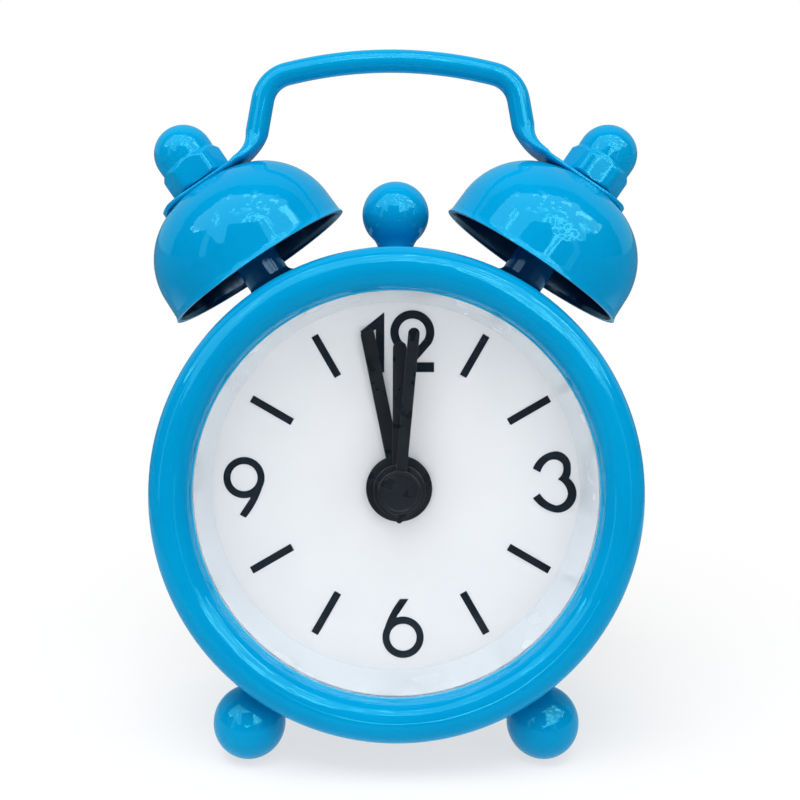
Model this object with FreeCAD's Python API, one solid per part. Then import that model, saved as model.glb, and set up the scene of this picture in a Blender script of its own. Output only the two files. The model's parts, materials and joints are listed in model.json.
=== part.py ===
"""Mini twin-bell alarm clock: a 42 mm quartz clock in a painted steel case.

Every piece is first made in the case frame, in millimetres: the Y axis runs through the case from
front to back, Z points to twelve o'clock, and Y = 0 is where the bezel is widest.
The finished clock then leans back onto its two ball feet and the rear edge of its case, with the
origin at the middle of its footprint on the table.
"""

import FreeCAD, Part
import math
import os
from FreeCAD import Vector

# Case
BEZEL_R = 21.0
BEZEL_OPENING_R = 17.27
BEZEL_RISE = 1.87
BEZEL_LIP = 0.28
BEZEL_LIP_Y = -0.2
BEZEL_SKIRT_Y = 1.2
BEZEL_SHEET = 0.45
DRUM_R = 20.25
DRUM_SHEET = 0.4
DRUM_FRONT_Y = 0.2
DRUM_BACK_Y = 18.6
DRUM_ROLL_R = 0.6
DRUM_LIP_R = 18.9
LENS_R = 18.6
LENS_Y = 0.35
LENS_THICK = 0.9

# Dial, its cup and its print, which sits a little off the hands' axis
DIAL_Y = 6.0
DIAL_THICK = 0.6
DIAL_R = 16.4
DIAL_HOLE_R = 1.6
DIAL_BOSS_R = 2.4
CUP_R = 17.3
CUP_FLANGE_R = 19.8
CUP_FLANGE = 0.8
PRINT_Y = (DIAL_Y - 0.06, DIAL_Y)
PRINT_X, PRINT_Z = 0.41, 0.15
TICK_RADIUS, TICK_LENGTH, TICK_WIDTH = 13.24, 4.18, 0.66
BOWL_R = (1.21, 1.84)
SIX_PLACE = (0.23, -13.63)
SIX_TIP = (-0.28, 3.41), (0.48, 3.41)
NINE_PLACE = (-13.96, 0.61)
NINE_TIP = (-0.16, 3.58), (0.39, 3.30)

# Bells, their posts and the handle, all in one upright plane. Heights are above a bell's mouth
BELL_Y = 8.7
BELL_X = 12.35
BELL_Z = 19.73
BELL_LEAN = 34.4
BELL_RIM_R = 9.12
BELL_TOP = 8.7
BELL_FLAT_R = 3.6
BELL_SHEET = 0.45
POST_R = 2.04
POST_FOOT_R = 2.49
POST_BEAD = (-2.5, -1.7)
STUD_R = 1.5
STUD_HOLE_R = 1.6
STUD_ENDS = (-5.6, 13.1)
NUT_FLATS = 5.5
NUT_HEX_HIGH = 2.0
NUT_DOME_R = 2.7
NUT_TOP = 15.2
INNER_NUT = (-5.75, -3.85)

# Handle: one wire with an arched top, two corners, two legs and a flattened end under each nut
WIRE_R = 1.05
HANDLE_TOP_Z = 38.6
HANDLE_OFFSET = -0.45
ARCH_R, ARCH_TURN = 39.0, 14.1
CORNER_R, CORNER_TURN = 3.0, 65.9
KNEE_R = 4.0
KNEE_HEIGHT = 9.15
FLATTENING = 0.7
TAB_THICK = 0.6
TAB_WIDTH = 5.6
TAB_TIP = 4.37
TAB_FOLD = 3.7
TAB_SLOPE = 0.27
KNEE_SECTIONS = (2.9, 1.4), (4.4, 0.8)
FLATTENING_SECTIONS = (0.5, 5.0, 0.7), (1.0, 5.3, 0.65)

# Ball knobs: one on top, two as feet
TOP_BALL_R = 3.04
TOP_BALL_Z = 24.5
FOOT_R = 3.14
FOOT_X = 12.8
FOOT_Y = 3.5
FOOT_Z = -20.31
FOOT_FLAT = 0.06
NECK_R = 1.6
SHOULDER_ANGLE = 40.0
KNOB_SCREW_R = 0.75
KNOB_SCREW_HEAD_R = 1.4

# Hands, on an axis a little right of the case's middle and below it. Widths are at root, middle and tip
HUB_X, HUB_Z = 0.28, -0.11
BLADE = 0.2
MINUTE_RIM, MINUTE_RECESS = 0.3, 0.12
HAND_WIDEST = 0.62
TAIL_LENGTH = 2.85
ALARM_HAND = dict(disc_r=2.93, disc_y=(5.0, 5.5), blade_y=5.15,
                  length=14.5, angle=-11.6, widths=(1.24, 1.24, 1.24))
HOUR_HAND = dict(disc_r=2.29, disc_y=(3.1, 3.9), blade_y=3.4,
                 length=13.05, angle=0.2, widths=(1.2, 1.22, 1.22))
MINUTE_HAND = dict(disc_r=1.87, disc_y=(1.95, 2.8), blade_y=2.3,
                   length=14.3, angle=5.2, widths=(0.94, 0.98, 1.0))

# Movement: levels from the dial to the back, and the radii of arbors and pipes
FRONT_PLATE_Y = (6.9, 7.7)
MIDDLE_PLATE_Y = (10.0, 10.5)
REAR_PLATE_Y = (12.2, 12.9)
ALARM_WHEEL_Y = (7.9, 8.25)
HOUR_WHEEL_Y = (8.5, 8.85)
MINUTE_WHEEL_Y = (9.2, 9.5)
CENTRE_WHEEL_Y = (10.8, 11.1)
THIRD_WHEEL_Y = (11.35, 11.65)
FRONT_PLATE_R = 16.6
SOCKET_DEPTH = 0.45
ARBOR_R = 0.45
PIVOT_R = 0.2
TRAIN_ARBOR_R = 0.3
HOUR_PIPE_R = (0.5, 0.8)
ALARM_PIPE_R = (0.85, 1.2)
SETTING_X = 6.0
SETTING_ARBOR_R = 0.5
SETTING_PIVOT_R = 0.3
FIT = 0.05
PINION_OVERHANG = 0.08
MOVEMENT_PILLARS = ((-10.8, -5.8), (9.5, -6.5), (10.6, 2.6), (-11.6, 2.6))
MOVEMENT_PILLAR_R = 1.1
SPACER_R = 0.8
MOVEMENT_SCREW = dict(shank_r=0.4, length=2.1, head_r=0.9, head_thick=0.4)

# Wheel trains: teeth and module
CANNON, MINUTE, MOTION_MODULE = 12, 36, 0.25
HOUR_PINION, HOUR, HOUR_MODULE = 10, 40, 0.24
ALARM_PINION, ALARM, ALARM_MODULE = 12, 36, 0.25
CENTRE, THIRD_PINION, CENTRE_MODULE = 60, 8, 0.14
THIRD, FOURTH_PINION, THIRD_MODULE = 64, 8, 0.12
FOURTH, RELAY_PINION, FOURTH_MODULE = 60, 12, 0.11
RELAY, ROTOR_PINION, RELAY_MODULE = 48, 8, 0.10
THIRD_DIRECTION = -60.0
FOURTH_DIRECTION = -108.0
RELAY_DIRECTION = 182.0
ROTOR_DIRECTION = 200.0
ROOT_DEPTH, TIP_HEIGHT = 1.2, 0.9

# Stepping motor
MAGNET_R = 1.3
MAGNET_Y = (8.6, 9.9)
STATOR_Y = (9.0, 9.5)
STATOR_R = 2.9
CORE_X = (-8.6, 7.6)
CORE_HALF = 0.45
COIL_X = (-7.0, 6.0)
COIL_Y = 9.95
COIL_Z = -14.0
COIL_TUBE_R = (0.7, 1.0)
COIL_FLANGE_R = 2.05
COIL_FLANGE = 0.5
WINDING_R = 1.85

# Circuit, buzzer and alarm spring
BOARD_Y = (12.9, 13.5)
CHIP_R = 1.9
CHIP_HIGH = 0.7
CHIP_X, CHIP_Z = 3.6, -12.0
CRYSTAL_R = 0.85
CRYSTAL_X = (-4.5, 1.5)
CRYSTAL_Z = -14.9
BUZZER_R = 6.2
BUZZER_Y = 15.5
BUZZER_Z = -10.6
SPRING_Y = (9.0, 9.12)
SPRING_FOOT = (8.0, 3.3)

# Back of the clock
BACK_R = 19.8
BACK_Y = (17.0, 18.2)
BACK_CHAMFER = 0.25
CASE_PILLARS = ((-13.43, 9.4), (13.43, 9.4), (-13.43, -9.4), (13.43, -9.4))
CASE_PILLAR_R = 1.6
CASE_SCREW = dict(shank_r=0.8, length=5.2, head_r=1.5, head_thick=0.6)
SCREW_SEAT = 0.7
SOUND_HOLE_R = 0.45
SOUND_RINGS = ((0.0, 1), (2.2, 6), (4.2, 12))

# Cell, its well and its cover, which turns behind two lugs
CELL_R = 5.8
CELL_Y = (10.9, 16.3)
CELL_Z = 11.7
WELL_R = 7.1
WELL_GROOVE_R = 6.6
WELL_FLOOR = (0.9, 0.4)
HATCH_R = 6.5
HATCH_PLUG_R = 6.1
HATCH_HOLE_R = 6.2
HATCH_LEDGE = 0.4
LUG_X, LUG_HALF, LUG_ANGLE = 6.0, 0.8, 35.0
COIN_SLOT_R, COIN_SLOT_HALF = 3.6, 0.6

# Knobs and switch
KNOB_R = 3.1
KNOB_Y = (18.5, 21.6)
KNOB_CHAMFER = 0.4
KNOB_SLEEVE_R = 1.2
KNOB_SLEEVE_Y = 15.0
KNOB_CAP = 1.0
GRIPS = 18
GRIP_R = 0.25
SWITCH_X = 14.0
SWITCH_TRAVEL = 3.0
RAIL_Y = (15.6, 16.0)

UPRIGHT = Vector(0, 0, 1)
BACKWARD = Vector(0, 1, 0)
RIGHTWARD = Vector(1, 0, 0)
CENTRE_LINE = Vector(0, 0, 0)
RIGHT_THROUGH = (0.0, 30.0)

nodes = {}


# Shapes that the pieces are made of


def outline(start, *steps):
    """A closed wire. A step is the end of a straight line, or a pair: a point on an arc and its end."""
    edges, here = [], Vector(*start)
    for step in steps:
        if isinstance(step[0], tuple):
            through, here_next = Vector(*step[0]), Vector(*step[1])
            edges.append(Part.Arc(here, through, here_next).toShape())
        else:
            here_next = Vector(*step)
            edges.append(Part.LineSegment(here, here_next).toShape())
        here = here_next
    if not here.isEqual(Vector(*start), 1e-6):
        edges.append(Part.LineSegment(here, Vector(*start)).toShape())
    return Part.Wire(edges)


def flat(point, level):
    """A point of a plate's outline, given as (x, z), at one depth in the case."""
    return (point[0], level, point[1])


def map_steps(steps, place):
    """The same steps with every point put through a function."""
    return [tuple(map(place, step)) if isinstance(step[0], tuple) else place(step) for step in steps]


def plate(depths, start, *steps):
    """A flat piece: its outline is given in (x, z), and it spans two depths in the case."""
    steps = map_steps(steps, lambda p: flat(p, depths[0]))
    face = Part.Face(outline(flat(start, depths[0]), *steps))
    return face.extrude(Vector(0, depths[1] - depths[0], 0))


def turned(start, *steps):
    """A piece turned about the case's axis, from a profile in (radius, depth)."""
    steps = map_steps(steps, lambda p: (p[0], p[1], 0))
    return Part.Face(outline((*start, 0), *steps)).revolve(CENTRE_LINE, BACKWARD, 360)


def turned_upright(start, *steps):
    """A piece turned about Z, from a profile in (radius, height)."""
    steps = map_steps(steps, lambda p: (p[0], 0, p[1]))
    return Part.Face(outline(flat(start, 0), *steps)).revolve(CENTRE_LINE, UPRIGHT, 360)


def rod(radius, depths, x=0.0, z=0.0):
    return Part.makeCylinder(radius, depths[1] - depths[0], Vector(x, depths[0], z), BACKWARD)


def tube(radii, depths, x=0.0, z=0.0):
    return rod(radii[1], depths, x, z).cut(rod(radii[0], depths, x, z))


def upright_rod(radius, low, high):
    return Part.makeCylinder(radius, high - low, Vector(0, 0, low))


def block(x, y, z):
    """A box from three (low, high) pairs."""
    return Part.makeBox(x[1] - x[0], y[1] - y[0], z[1] - z[0], Vector(x[0], y[0], z[0]))


def around(value, half):
    """The (low, high) pair that reaches as far to both sides of a value."""
    return value - half, value + half


def moved(shape, x=0.0, y=0.0, z=0.0):
    shape = shape.copy()
    shape.translate(Vector(x, y, z))
    return shape


def polar(radius, degrees):
    """The (x, z) of a point at an angle from +X towards +Z."""
    return radius * math.cos(math.radians(degrees)), radius * math.sin(math.radians(degrees))


def at_hub(shape):
    return moved(shape, x=HUB_X, z=HUB_Z)


def joined(shapes):
    return shapes[0].multiFuse(shapes[1:]).removeSplitter()


def drilled(shape, holes):
    """Holes straight through, each given as (radius, (x, z))."""
    for radius, (x, z) in holes:
        shape = shape.cut(rod(radius, RIGHT_THROUGH, x, z))
    return shape


def hexagon(flats, low, high, bore=0.0):
    """A hexagonal prism on Z with two flats facing front and back."""
    corner_r = flats / math.sqrt(3)
    corners = [(*polar(corner_r, 60 * n), low) for n in range(6)]
    prism = Part.Face(outline(*corners)).extrude(Vector(0, 0, high - low))
    return prism.cut(upright_rod(bore, low, high)) if bore else prism


def on_bell_axis(shape, side):
    """Stands a piece made on Z, with the bell's mouth at Z = 0, on the left (-1) or right (1) axis."""
    shape = shape.copy()
    shape.rotate(CENTRE_LINE, BACKWARD, side * BELL_LEAN)
    return moved(shape, side * BELL_X, BELL_Y, BELL_Z)


def drum_solid():
    """The space that the drum fills, with which whatever stands on it is cut to a saddle."""
    return rod(DRUM_R, (DRUM_FRONT_Y, DRUM_BACK_Y))


# Wheels


def gear(teeth, module, depths, turn=0.0):
    """A wheel or pinion with straight-flanked teeth, one of them at the given angle from +X."""
    root_r = module * (teeth / 2 - ROOT_DEPTH)
    tip_r = module * (teeth / 2 + TIP_HEIGHT)
    root_share, tip_share = 0.30, 0.10
    corners = []
    for n in range(teeth):
        for radius, share in ((root_r, -root_share), (tip_r, -tip_share),
                              (tip_r, tip_share), (root_r, root_share)):
            corners.append(polar(radius, turn + (n + share) * 360 / teeth))
    return plate(depths, *corners)


def distance_of(teeth, others, module):
    return module * (teeth + others) / 2


def meshing_turn(teeth, turn, others, direction):
    """The turn of a wheel that meshes with one already turned, seen from it in the given direction."""
    return direction + 180 - (direction - turn) * -teeth / others + 180 / others


def spoked(wheel, depths, hub_r, rim_r, spokes=4):
    """The wheel with the web between its hub and rim cut away, apart from its spokes."""
    half_spoke = 0.35
    web = tube((hub_r, rim_r), depths)
    for n in range(spokes):
        spoke = block((0, rim_r), depths, around(0, half_spoke))
        spoke.rotate(CENTRE_LINE, BACKWARD, 360 * n / spokes)
        web = web.cut(spoke)
    return wheel.cut(web)


def train_places():
    """Where the arbors of the going train stand, measured from the hands' axis."""
    places, here = {}, (0.0, 0.0)
    for name, teeth, others, module, direction in (
            ("third", CENTRE, THIRD_PINION, CENTRE_MODULE, THIRD_DIRECTION),
            ("fourth", THIRD, FOURTH_PINION, THIRD_MODULE, FOURTH_DIRECTION),
            ("relay", FOURTH, RELAY_PINION, FOURTH_MODULE, RELAY_DIRECTION),
            ("rotor", RELAY, ROTOR_PINION, RELAY_MODULE, ROTOR_DIRECTION)):
        step = polar(distance_of(teeth, others, module), direction)
        here = (here[0] + step[0], here[1] + step[1])
        places[name] = here
    return places


def train_arbor(name, pinion, wheel):
    """An arbor with its pinion and wheel, running in the middle and rear plates."""
    inside = (MIDDLE_PLATE_Y[1] + FIT, REAR_PLATE_Y[0] - FIT)
    pivots = (MIDDLE_PLATE_Y[0] + FIT, REAR_PLATE_Y[1] - FIT)
    x, z = train_places()[name]
    arbor = joined([rod(TRAIN_ARBOR_R, inside), rod(PIVOT_R, pivots), pinion, wheel])
    return at_hub(moved(arbor, x=x, z=z))


def pinion_level(depths):
    """A pinion is a little wider than the wheel that it meshes with."""
    return depths[0] - PINION_OVERHANG, depths[1] + PINION_OVERHANG


def make_going_train():
    """Rotor, relay wheel, fourth wheel, third wheel and centre wheel, in mesh."""
    sleeve_r, sleeve_y = 0.9, (CENTRE_WHEEL_Y[0] - 0.2, CENTRE_WHEEL_Y[1] + 0.1)
    centre = spoked(gear(CENTRE, CENTRE_MODULE, CENTRE_WHEEL_Y), CENTRE_WHEEL_Y, 1.1, 3.5)
    centre = centre.fuse(rod(sleeve_r, sleeve_y)).cut(rod(ARBOR_R + 0.03, sleeve_y))
    nodes["centre_wheel"] = at_hub(centre)

    third_turn = meshing_turn(CENTRE, 0.0, THIRD_PINION, THIRD_DIRECTION)
    third_pinion = gear(THIRD_PINION, CENTRE_MODULE, pinion_level(CENTRE_WHEEL_Y), third_turn)
    third = spoked(gear(THIRD, THIRD_MODULE, THIRD_WHEEL_Y, third_turn), THIRD_WHEEL_Y, 0.9, 3.2)
    nodes["third_wheel"] = train_arbor("third", third_pinion, third)

    fourth_turn = meshing_turn(THIRD, third_turn, FOURTH_PINION, FOURTH_DIRECTION)
    fourth_pinion = gear(FOURTH_PINION, THIRD_MODULE, pinion_level(THIRD_WHEEL_Y), fourth_turn)
    fourth = spoked(gear(FOURTH, FOURTH_MODULE, CENTRE_WHEEL_Y, fourth_turn), CENTRE_WHEEL_Y, 0.9, 2.7)
    nodes["fourth_wheel"] = train_arbor("fourth", fourth_pinion, fourth)

    relay_turn = meshing_turn(FOURTH, fourth_turn, RELAY_PINION, RELAY_DIRECTION)
    relay_pinion = gear(RELAY_PINION, FOURTH_MODULE, pinion_level(CENTRE_WHEEL_Y), relay_turn)
    relay = gear(RELAY, RELAY_MODULE, THIRD_WHEEL_Y, relay_turn)
    nodes["relay_wheel"] = train_arbor("relay", relay_pinion, relay)

    rotor_turn = meshing_turn(RELAY, relay_turn, ROTOR_PINION, ROTOR_DIRECTION)
    x, z = train_places()["rotor"]
    rotor = joined([
        gear(ROTOR_PINION, RELAY_MODULE, pinion_level(THIRD_WHEEL_Y), rotor_turn),
        rod(PIVOT_R, (FRONT_PLATE_Y[1] - SOCKET_DEPTH + FIT, REAR_PLATE_Y[1] - FIT)),
        rod(TRAIN_ARBOR_R, (FRONT_PLATE_Y[1] + FIT, REAR_PLATE_Y[0] - FIT)),
        rod(MAGNET_R, MAGNET_Y),
    ])
    nodes["rotor"] = at_hub(moved(rotor, x=x, z=z))


def setting_arbor():
    """The long arbor that reaches from a wheel to its knob behind the clock."""
    return joined([
        rod(SETTING_ARBOR_R, (FRONT_PLATE_Y[1] + FIT, KNOB_Y[1] - KNOB_CAP)),
        rod(SETTING_PIVOT_R, (FRONT_PLATE_Y[1] - SOCKET_DEPTH + FIT, FRONT_PLATE_Y[1] + 0.2)),
    ])


def make_motion_work():
    """The cannon pinion, the minute wheel that the setting knob turns, and the hour wheel."""
    cannon = joined([
        rod(ARBOR_R, (MINUTE_HAND["blade_y"] + FIT, REAR_PLATE_Y[0] - FIT)),
        rod(PIVOT_R, (REAR_PLATE_Y[0] - 0.2, REAR_PLATE_Y[1] - FIT)),
        gear(CANNON, MOTION_MODULE, pinion_level(MINUTE_WHEEL_Y)),
    ])
    nodes["cannon_pinion"] = at_hub(cannon)

    minute_turn = meshing_turn(CANNON, 0.0, MINUTE, 180.0)
    hour_turn = meshing_turn(HOUR_PINION, minute_turn, HOUR, 0.0)
    minute = joined([
        spoked(gear(MINUTE, MOTION_MODULE, MINUTE_WHEEL_Y, minute_turn), MINUTE_WHEEL_Y, 1.6, 3.6),
        gear(HOUR_PINION, HOUR_MODULE, (HOUR_WHEEL_Y[0] - PINION_OVERHANG, MINUTE_WHEEL_Y[1]), minute_turn),
        setting_arbor(),
    ])
    nodes["minute_wheel"] = at_hub(moved(minute, x=-SETTING_X))

    pipe_y = (HOUR_HAND["blade_y"], HOUR_WHEEL_Y[1])
    hour = spoked(gear(HOUR, HOUR_MODULE, HOUR_WHEEL_Y, hour_turn), HOUR_WHEEL_Y, 1.5, 3.9)
    hour = joined([hour, rod(HOUR_PIPE_R[1], pipe_y)]).cut(rod(HOUR_PIPE_R[0], pipe_y))
    nodes["hour_wheel"] = at_hub(hour)


def make_alarm_work():
    """The alarm wheel under the alarm hand, and the pinion that the alarm knob turns."""
    pipe_y = (ALARM_HAND["blade_y"], ALARM_WHEEL_Y[1])
    wheel = spoked(gear(ALARM, ALARM_MODULE, ALARM_WHEEL_Y), ALARM_WHEEL_Y, 1.8, 3.6, spokes=3)
    wheel = joined([wheel, rod(ALARM_PIPE_R[1], pipe_y)]).cut(rod(ALARM_PIPE_R[0], pipe_y))
    nodes["alarm_wheel"] = at_hub(wheel)
    pinion_turn = meshing_turn(ALARM, 0.0, ALARM_PINION, 0.0)
    pinion = gear(ALARM_PINION, ALARM_MODULE, pinion_level(ALARM_WHEEL_Y), pinion_turn)
    nodes["alarm_setting_pinion"] = at_hub(moved(joined([pinion, setting_arbor()]), x=SETTING_X))


# Movement frame and motor


def make_front_plate():
    """The front plate, with four pillars for the movement and four long ones for the back."""
    socket_y = (FRONT_PLATE_Y[1] - SOCKET_DEPTH, FRONT_PLATE_Y[1])
    front = rod(FRONT_PLATE_R, FRONT_PLATE_Y).cut(rod(ALARM_PIPE_R[1] + FIT, FRONT_PLATE_Y))
    front = front.cut(rod(PIVOT_R + FIT, socket_y, *train_places()["rotor"]))
    for side in (-1, 1):
        front = front.cut(rod(SETTING_PIVOT_R + FIT, socket_y, side * SETTING_X))
    pillar_y = (FRONT_PLATE_Y[1], MIDDLE_PLATE_Y[0])
    spacer_y = (MIDDLE_PLATE_Y[0], REAR_PLATE_Y[0])
    tapped_y = (REAR_PLATE_Y[0] - 1.5, REAR_PLATE_Y[0])
    pillars = [rod(MOVEMENT_PILLAR_R, pillar_y, *place) for place in MOVEMENT_PILLARS]
    spacers = [rod(SPACER_R, spacer_y, *place) for place in MOVEMENT_PILLARS]
    front = joined([front] + pillars + spacers)
    for place in MOVEMENT_PILLARS:
        front = front.cut(rod(MOVEMENT_SCREW["shank_r"], tapped_y, *place))
    case_pillars = [rod(CASE_PILLAR_R, (FRONT_PLATE_Y[0], BACK_Y[0]), *place) for place in CASE_PILLARS]
    front = joined([at_hub(front)] + case_pillars)
    for place in CASE_PILLARS:
        front = front.cut(rod(CASE_SCREW["shank_r"], (BACK_Y[0] - 5.0, BACK_Y[0]), *place))
    nodes["movement_front_plate"] = front


def make_plates():
    """Front, middle and rear plates, with a bore for every arbor."""
    make_front_plate()
    places = train_places()
    pivots = [(PIVOT_R + FIT, places[name]) for name in ("third", "fourth", "relay")]
    setting = [(SETTING_ARBOR_R + FIT, (side * SETTING_X, 0)) for side in (-1, 1)]
    middle = plate(MIDDLE_PLATE_Y, (-12.9, 3.9), (11.9, 3.9), (11.9, -4.0), (10.8, -8.0), (6.5, -11.3),
                   (-7.6, -11.3), (-12.0, -7.2))
    holes = pivots + setting + [(ARBOR_R + FIT, (0, 0)), (0.9, places["rotor"])]
    holes += [(SPACER_R + FIT, place) for place in MOVEMENT_PILLARS]
    nodes["movement_middle_plate"] = at_hub(drilled(middle, holes))

    rear = plate(REAR_PLATE_Y, (-12.9, 3.9), (11.9, 3.9), (11.9, -4.0), (10.8, -8.0), (9.6, -12.0),
                 (7.0, -16.4), (-7.5, -16.4), (-10.2, -11.5), (-12.0, -7.2))
    holes = pivots + setting + [(PIVOT_R + FIT, (0, 0)), (PIVOT_R + FIT, places["rotor"])]
    holes += [(MOVEMENT_SCREW["shank_r"] + 0.1, place) for place in MOVEMENT_PILLARS]
    nodes["movement_rear_plate"] = at_hub(drilled(rear, holes))


def screw(shank_r, length, head_r, head_thick):
    """A pan-head screw with a cross slot. The underside of its head is at depth 0."""
    side_y, crown_y = head_thick * 0.55, head_thick * 0.95
    head = turned((0, 0), (head_r, 0), (head_r, side_y),
                  ((head_r * 0.8, crown_y), (head_r * 0.5, head_thick)), (0, head_thick))
    body = joined([head, rod(shank_r, (-length, side_y))])
    slot_r, slot_half, slot_deep = head_r * 0.6, head_r * 0.13, head_thick * 0.45
    for turn in (0, 90):
        slot = block(around(0, slot_r), (head_thick - slot_deep, head_thick), around(0, slot_half))
        slot.rotate(CENTRE_LINE, BACKWARD, turn)
        body = body.cut(slot)
    return body


def make_screws():
    """Four screws hold the movement together, and four hold the back and the movement in the case."""
    small = [at_hub(moved(screw(**MOVEMENT_SCREW), x, REAR_PLATE_Y[1], z)) for x, z in MOVEMENT_PILLARS]
    nodes["movement_screws"] = Part.makeCompound(small)
    large = [moved(screw(**CASE_SCREW), x, BACK_Y[1] - SCREW_SEAT, z) for x, z in CASE_PILLARS]
    nodes["case_screws"] = Part.makeCompound(large)


def coil_tube(inner_r, outer_r, span):
    """A tube on the coil's axis, which runs across the movement."""
    start, length = Vector(span[0], COIL_Y, COIL_Z), span[1] - span[0]
    outer = Part.makeCylinder(outer_r, length, start, RIGHTWARD)
    return outer.cut(Part.makeCylinder(inner_r, length, start, RIGHTWARD))


def make_motor():
    """Stator, coil core, bobbin and winding."""
    x, z = train_places()["rotor"]
    leg, shelf_z, core_low = 1.4, (-11.6, -10.4), COIL_Z - 0.5
    left_leg = block((CORE_X[0], CORE_X[0] + leg), STATOR_Y, (core_low, z))
    shelf = block((-3.2, CORE_X[1]), STATOR_Y, shelf_z)
    right_leg = block((CORE_X[1] - leg, CORE_X[1]), STATOR_Y, (core_low, shelf_z[1]))
    stator = joined([rod(STATOR_R, STATOR_Y, x, z), left_leg, shelf, right_leg])
    nodes["stator"] = at_hub(stator.cut(rod(MAGNET_R + 0.3, STATOR_Y, x, z)))
    nodes["coil_core"] = at_hub(block(CORE_X, around(COIL_Y, CORE_HALF), around(COIL_Z, CORE_HALF)))

    wound = (COIL_X[0] + COIL_FLANGE, COIL_X[1] - COIL_FLANGE)
    bobbin = joined([coil_tube(*COIL_TUBE_R, COIL_X),
                     coil_tube(COIL_TUBE_R[0], COIL_FLANGE_R, (COIL_X[0], wound[0])),
                     coil_tube(COIL_TUBE_R[0], COIL_FLANGE_R, (wound[1], COIL_X[1]))])
    nodes["coil_bobbin"] = at_hub(bobbin)
    nodes["coil_winding"] = at_hub(coil_tube(COIL_TUBE_R[1], WINDING_R, wound))


def make_circuit():
    """Circuit board with its sealed chip and crystal, the buzzer, and the alarm contact spring."""
    nodes["circuit_board"] = at_hub(plate(BOARD_Y, (-8.0, -8.0), (8.0, -8.0), (8.0, -13.0), (6.0, -16.4),
                                          (-6.0, -16.4), (-8.0, -13.0)))
    chip_top = BOARD_Y[1] + CHIP_HIGH
    chip = turned((0, BOARD_Y[1]), (CHIP_R, BOARD_Y[1]),
                  ((CHIP_R - 0.2, chip_top - 0.25), (CHIP_R - 0.8, chip_top)), (0, chip_top))
    nodes["chip"] = at_hub(moved(chip, x=CHIP_X, z=CHIP_Z))
    crystal_end = Vector(CRYSTAL_X[0], BOARD_Y[1] + CRYSTAL_R, CRYSTAL_Z)
    crystal = Part.makeCylinder(CRYSTAL_R, CRYSTAL_X[1] - CRYSTAL_X[0], crystal_end, RIGHTWARD)
    nodes["quartz_crystal"] = at_hub(crystal)
    chamfer = 0.3
    buzzer = turned((0, BUZZER_Y), (BUZZER_R - chamfer, BUZZER_Y), (BUZZER_R, BUZZER_Y + chamfer),
                    (BUZZER_R, BACK_Y[0]), (0, BACK_Y[0]))
    nodes["buzzer"] = moved(buzzer, z=BUZZER_Z)
    leaf = plate(SPRING_Y, (2.4, 2.6), (7.4, 5.2), (8.6, 5.2), (8.6, 2.75), (7.4, 2.75), (7.4, 3.72),
                 (2.8, 1.9))
    foot = rod(0.5, (SPRING_Y[0], MIDDLE_PLATE_Y[0]), *SPRING_FOOT)
    nodes["alarm_contact_spring"] = at_hub(joined([leaf, foot]))


# Dial and hands


def ring_part(centre, radii, from_angle, to_angle):
    """Part of a ring in a numeral, between two angles counted from +X towards +Z."""
    middle = (from_angle + to_angle) / 2

    def spot(radius, angle):
        x, z = polar(radius, angle)
        return centre[0] + x, centre[1] + z

    inner, outer = radii
    return plate(PRINT_Y, spot(outer, from_angle), (spot(outer, middle), spot(outer, to_angle)),
                 spot(inner, to_angle), (spot(inner, middle), spot(inner, from_angle)))


def numeral_twelve():
    one = plate(PRINT_Y, (-1.45, 15.37), (-3.59, 13.66), (-3.2, 13.05), (-2.2, 13.87), (-2.2, 10.0),
                (-1.45, 10.0))
    bowl = ring_part((1.06, 13.58), (1.22, 1.97), -32, 228)
    rest = plate(PRINT_Y, (2.73, 12.54), (1.3, 10.9), (3.0, 10.9), (3.0, 10.02), (-0.2, 10.02),
                 (-0.2, 10.27), (2.09, 12.93))
    return [one, joined([bowl, rest])]


def numeral_three():
    upper = ((12.76, 2.60), (13.93, 2.96)), ((14.85, 2.51), (15.20, 1.55)), ((15.19, 1.05), (15.04, 0.56))
    lower = ((15.70, -0.64), (13.98, -2.52)), ((12.61, -2.01), (11.82, -1.22))
    low_inside = ((13.30, -1.65), (13.89, -1.88)), ((14.70, -1.45), (14.94, -0.79))
    waist = ((14.63, -0.01), (14.03, 0.47)), ((14.54, 1.36), (14.44, 1.86))
    high_inside = ((13.72, 2.23), (13.07, 2.01)), ((12.72, 1.62), (12.48, 1.07))
    return plate(PRINT_Y, (11.82, 1.41), *upper, *lower, (12.43, -0.81), *low_inside, *waist, *high_inside)


def numeral_six(tip):
    """A six with its bowl at the origin. Its tip is given by two corners."""
    bowl = [ring_part((0, 0), BOWL_R, start, start + 180) for start in (0, 180)]
    stem = plate(PRINT_Y, (-1.79, 0.3), ((-1.44, 1.40), tip[0]), tip[1], (-0.45, 2.02),
                 ((-0.56, 1.8), (-0.5, 1.55)), (-1.2, 0.6))
    return joined([*bowl, stem])


def make_print():
    """Four numerals, and a bar at each of the other hours."""
    six = moved(numeral_six(SIX_TIP), x=SIX_PLACE[0], z=SIX_PLACE[1])
    nine = numeral_six(NINE_TIP)
    nine.rotate(CENTRE_LINE, BACKWARD, 180)
    nine = moved(nine, x=NINE_PLACE[0], z=NINE_PLACE[1])
    marks = [*numeral_twelve(), numeral_three(), six, nine]
    for hour in (1, 2, 4, 5, 7, 8, 10, 11):
        bar = block(around(0, TICK_WIDTH / 2), PRINT_Y, around(TICK_RADIUS, TICK_LENGTH / 2))
        bar.rotate(CENTRE_LINE, BACKWARD, 30 * hour)
        marks.append(bar)
    nodes["dial_markings"] = moved(Part.makeCompound(marks), x=PRINT_X, z=PRINT_Z)


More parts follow.
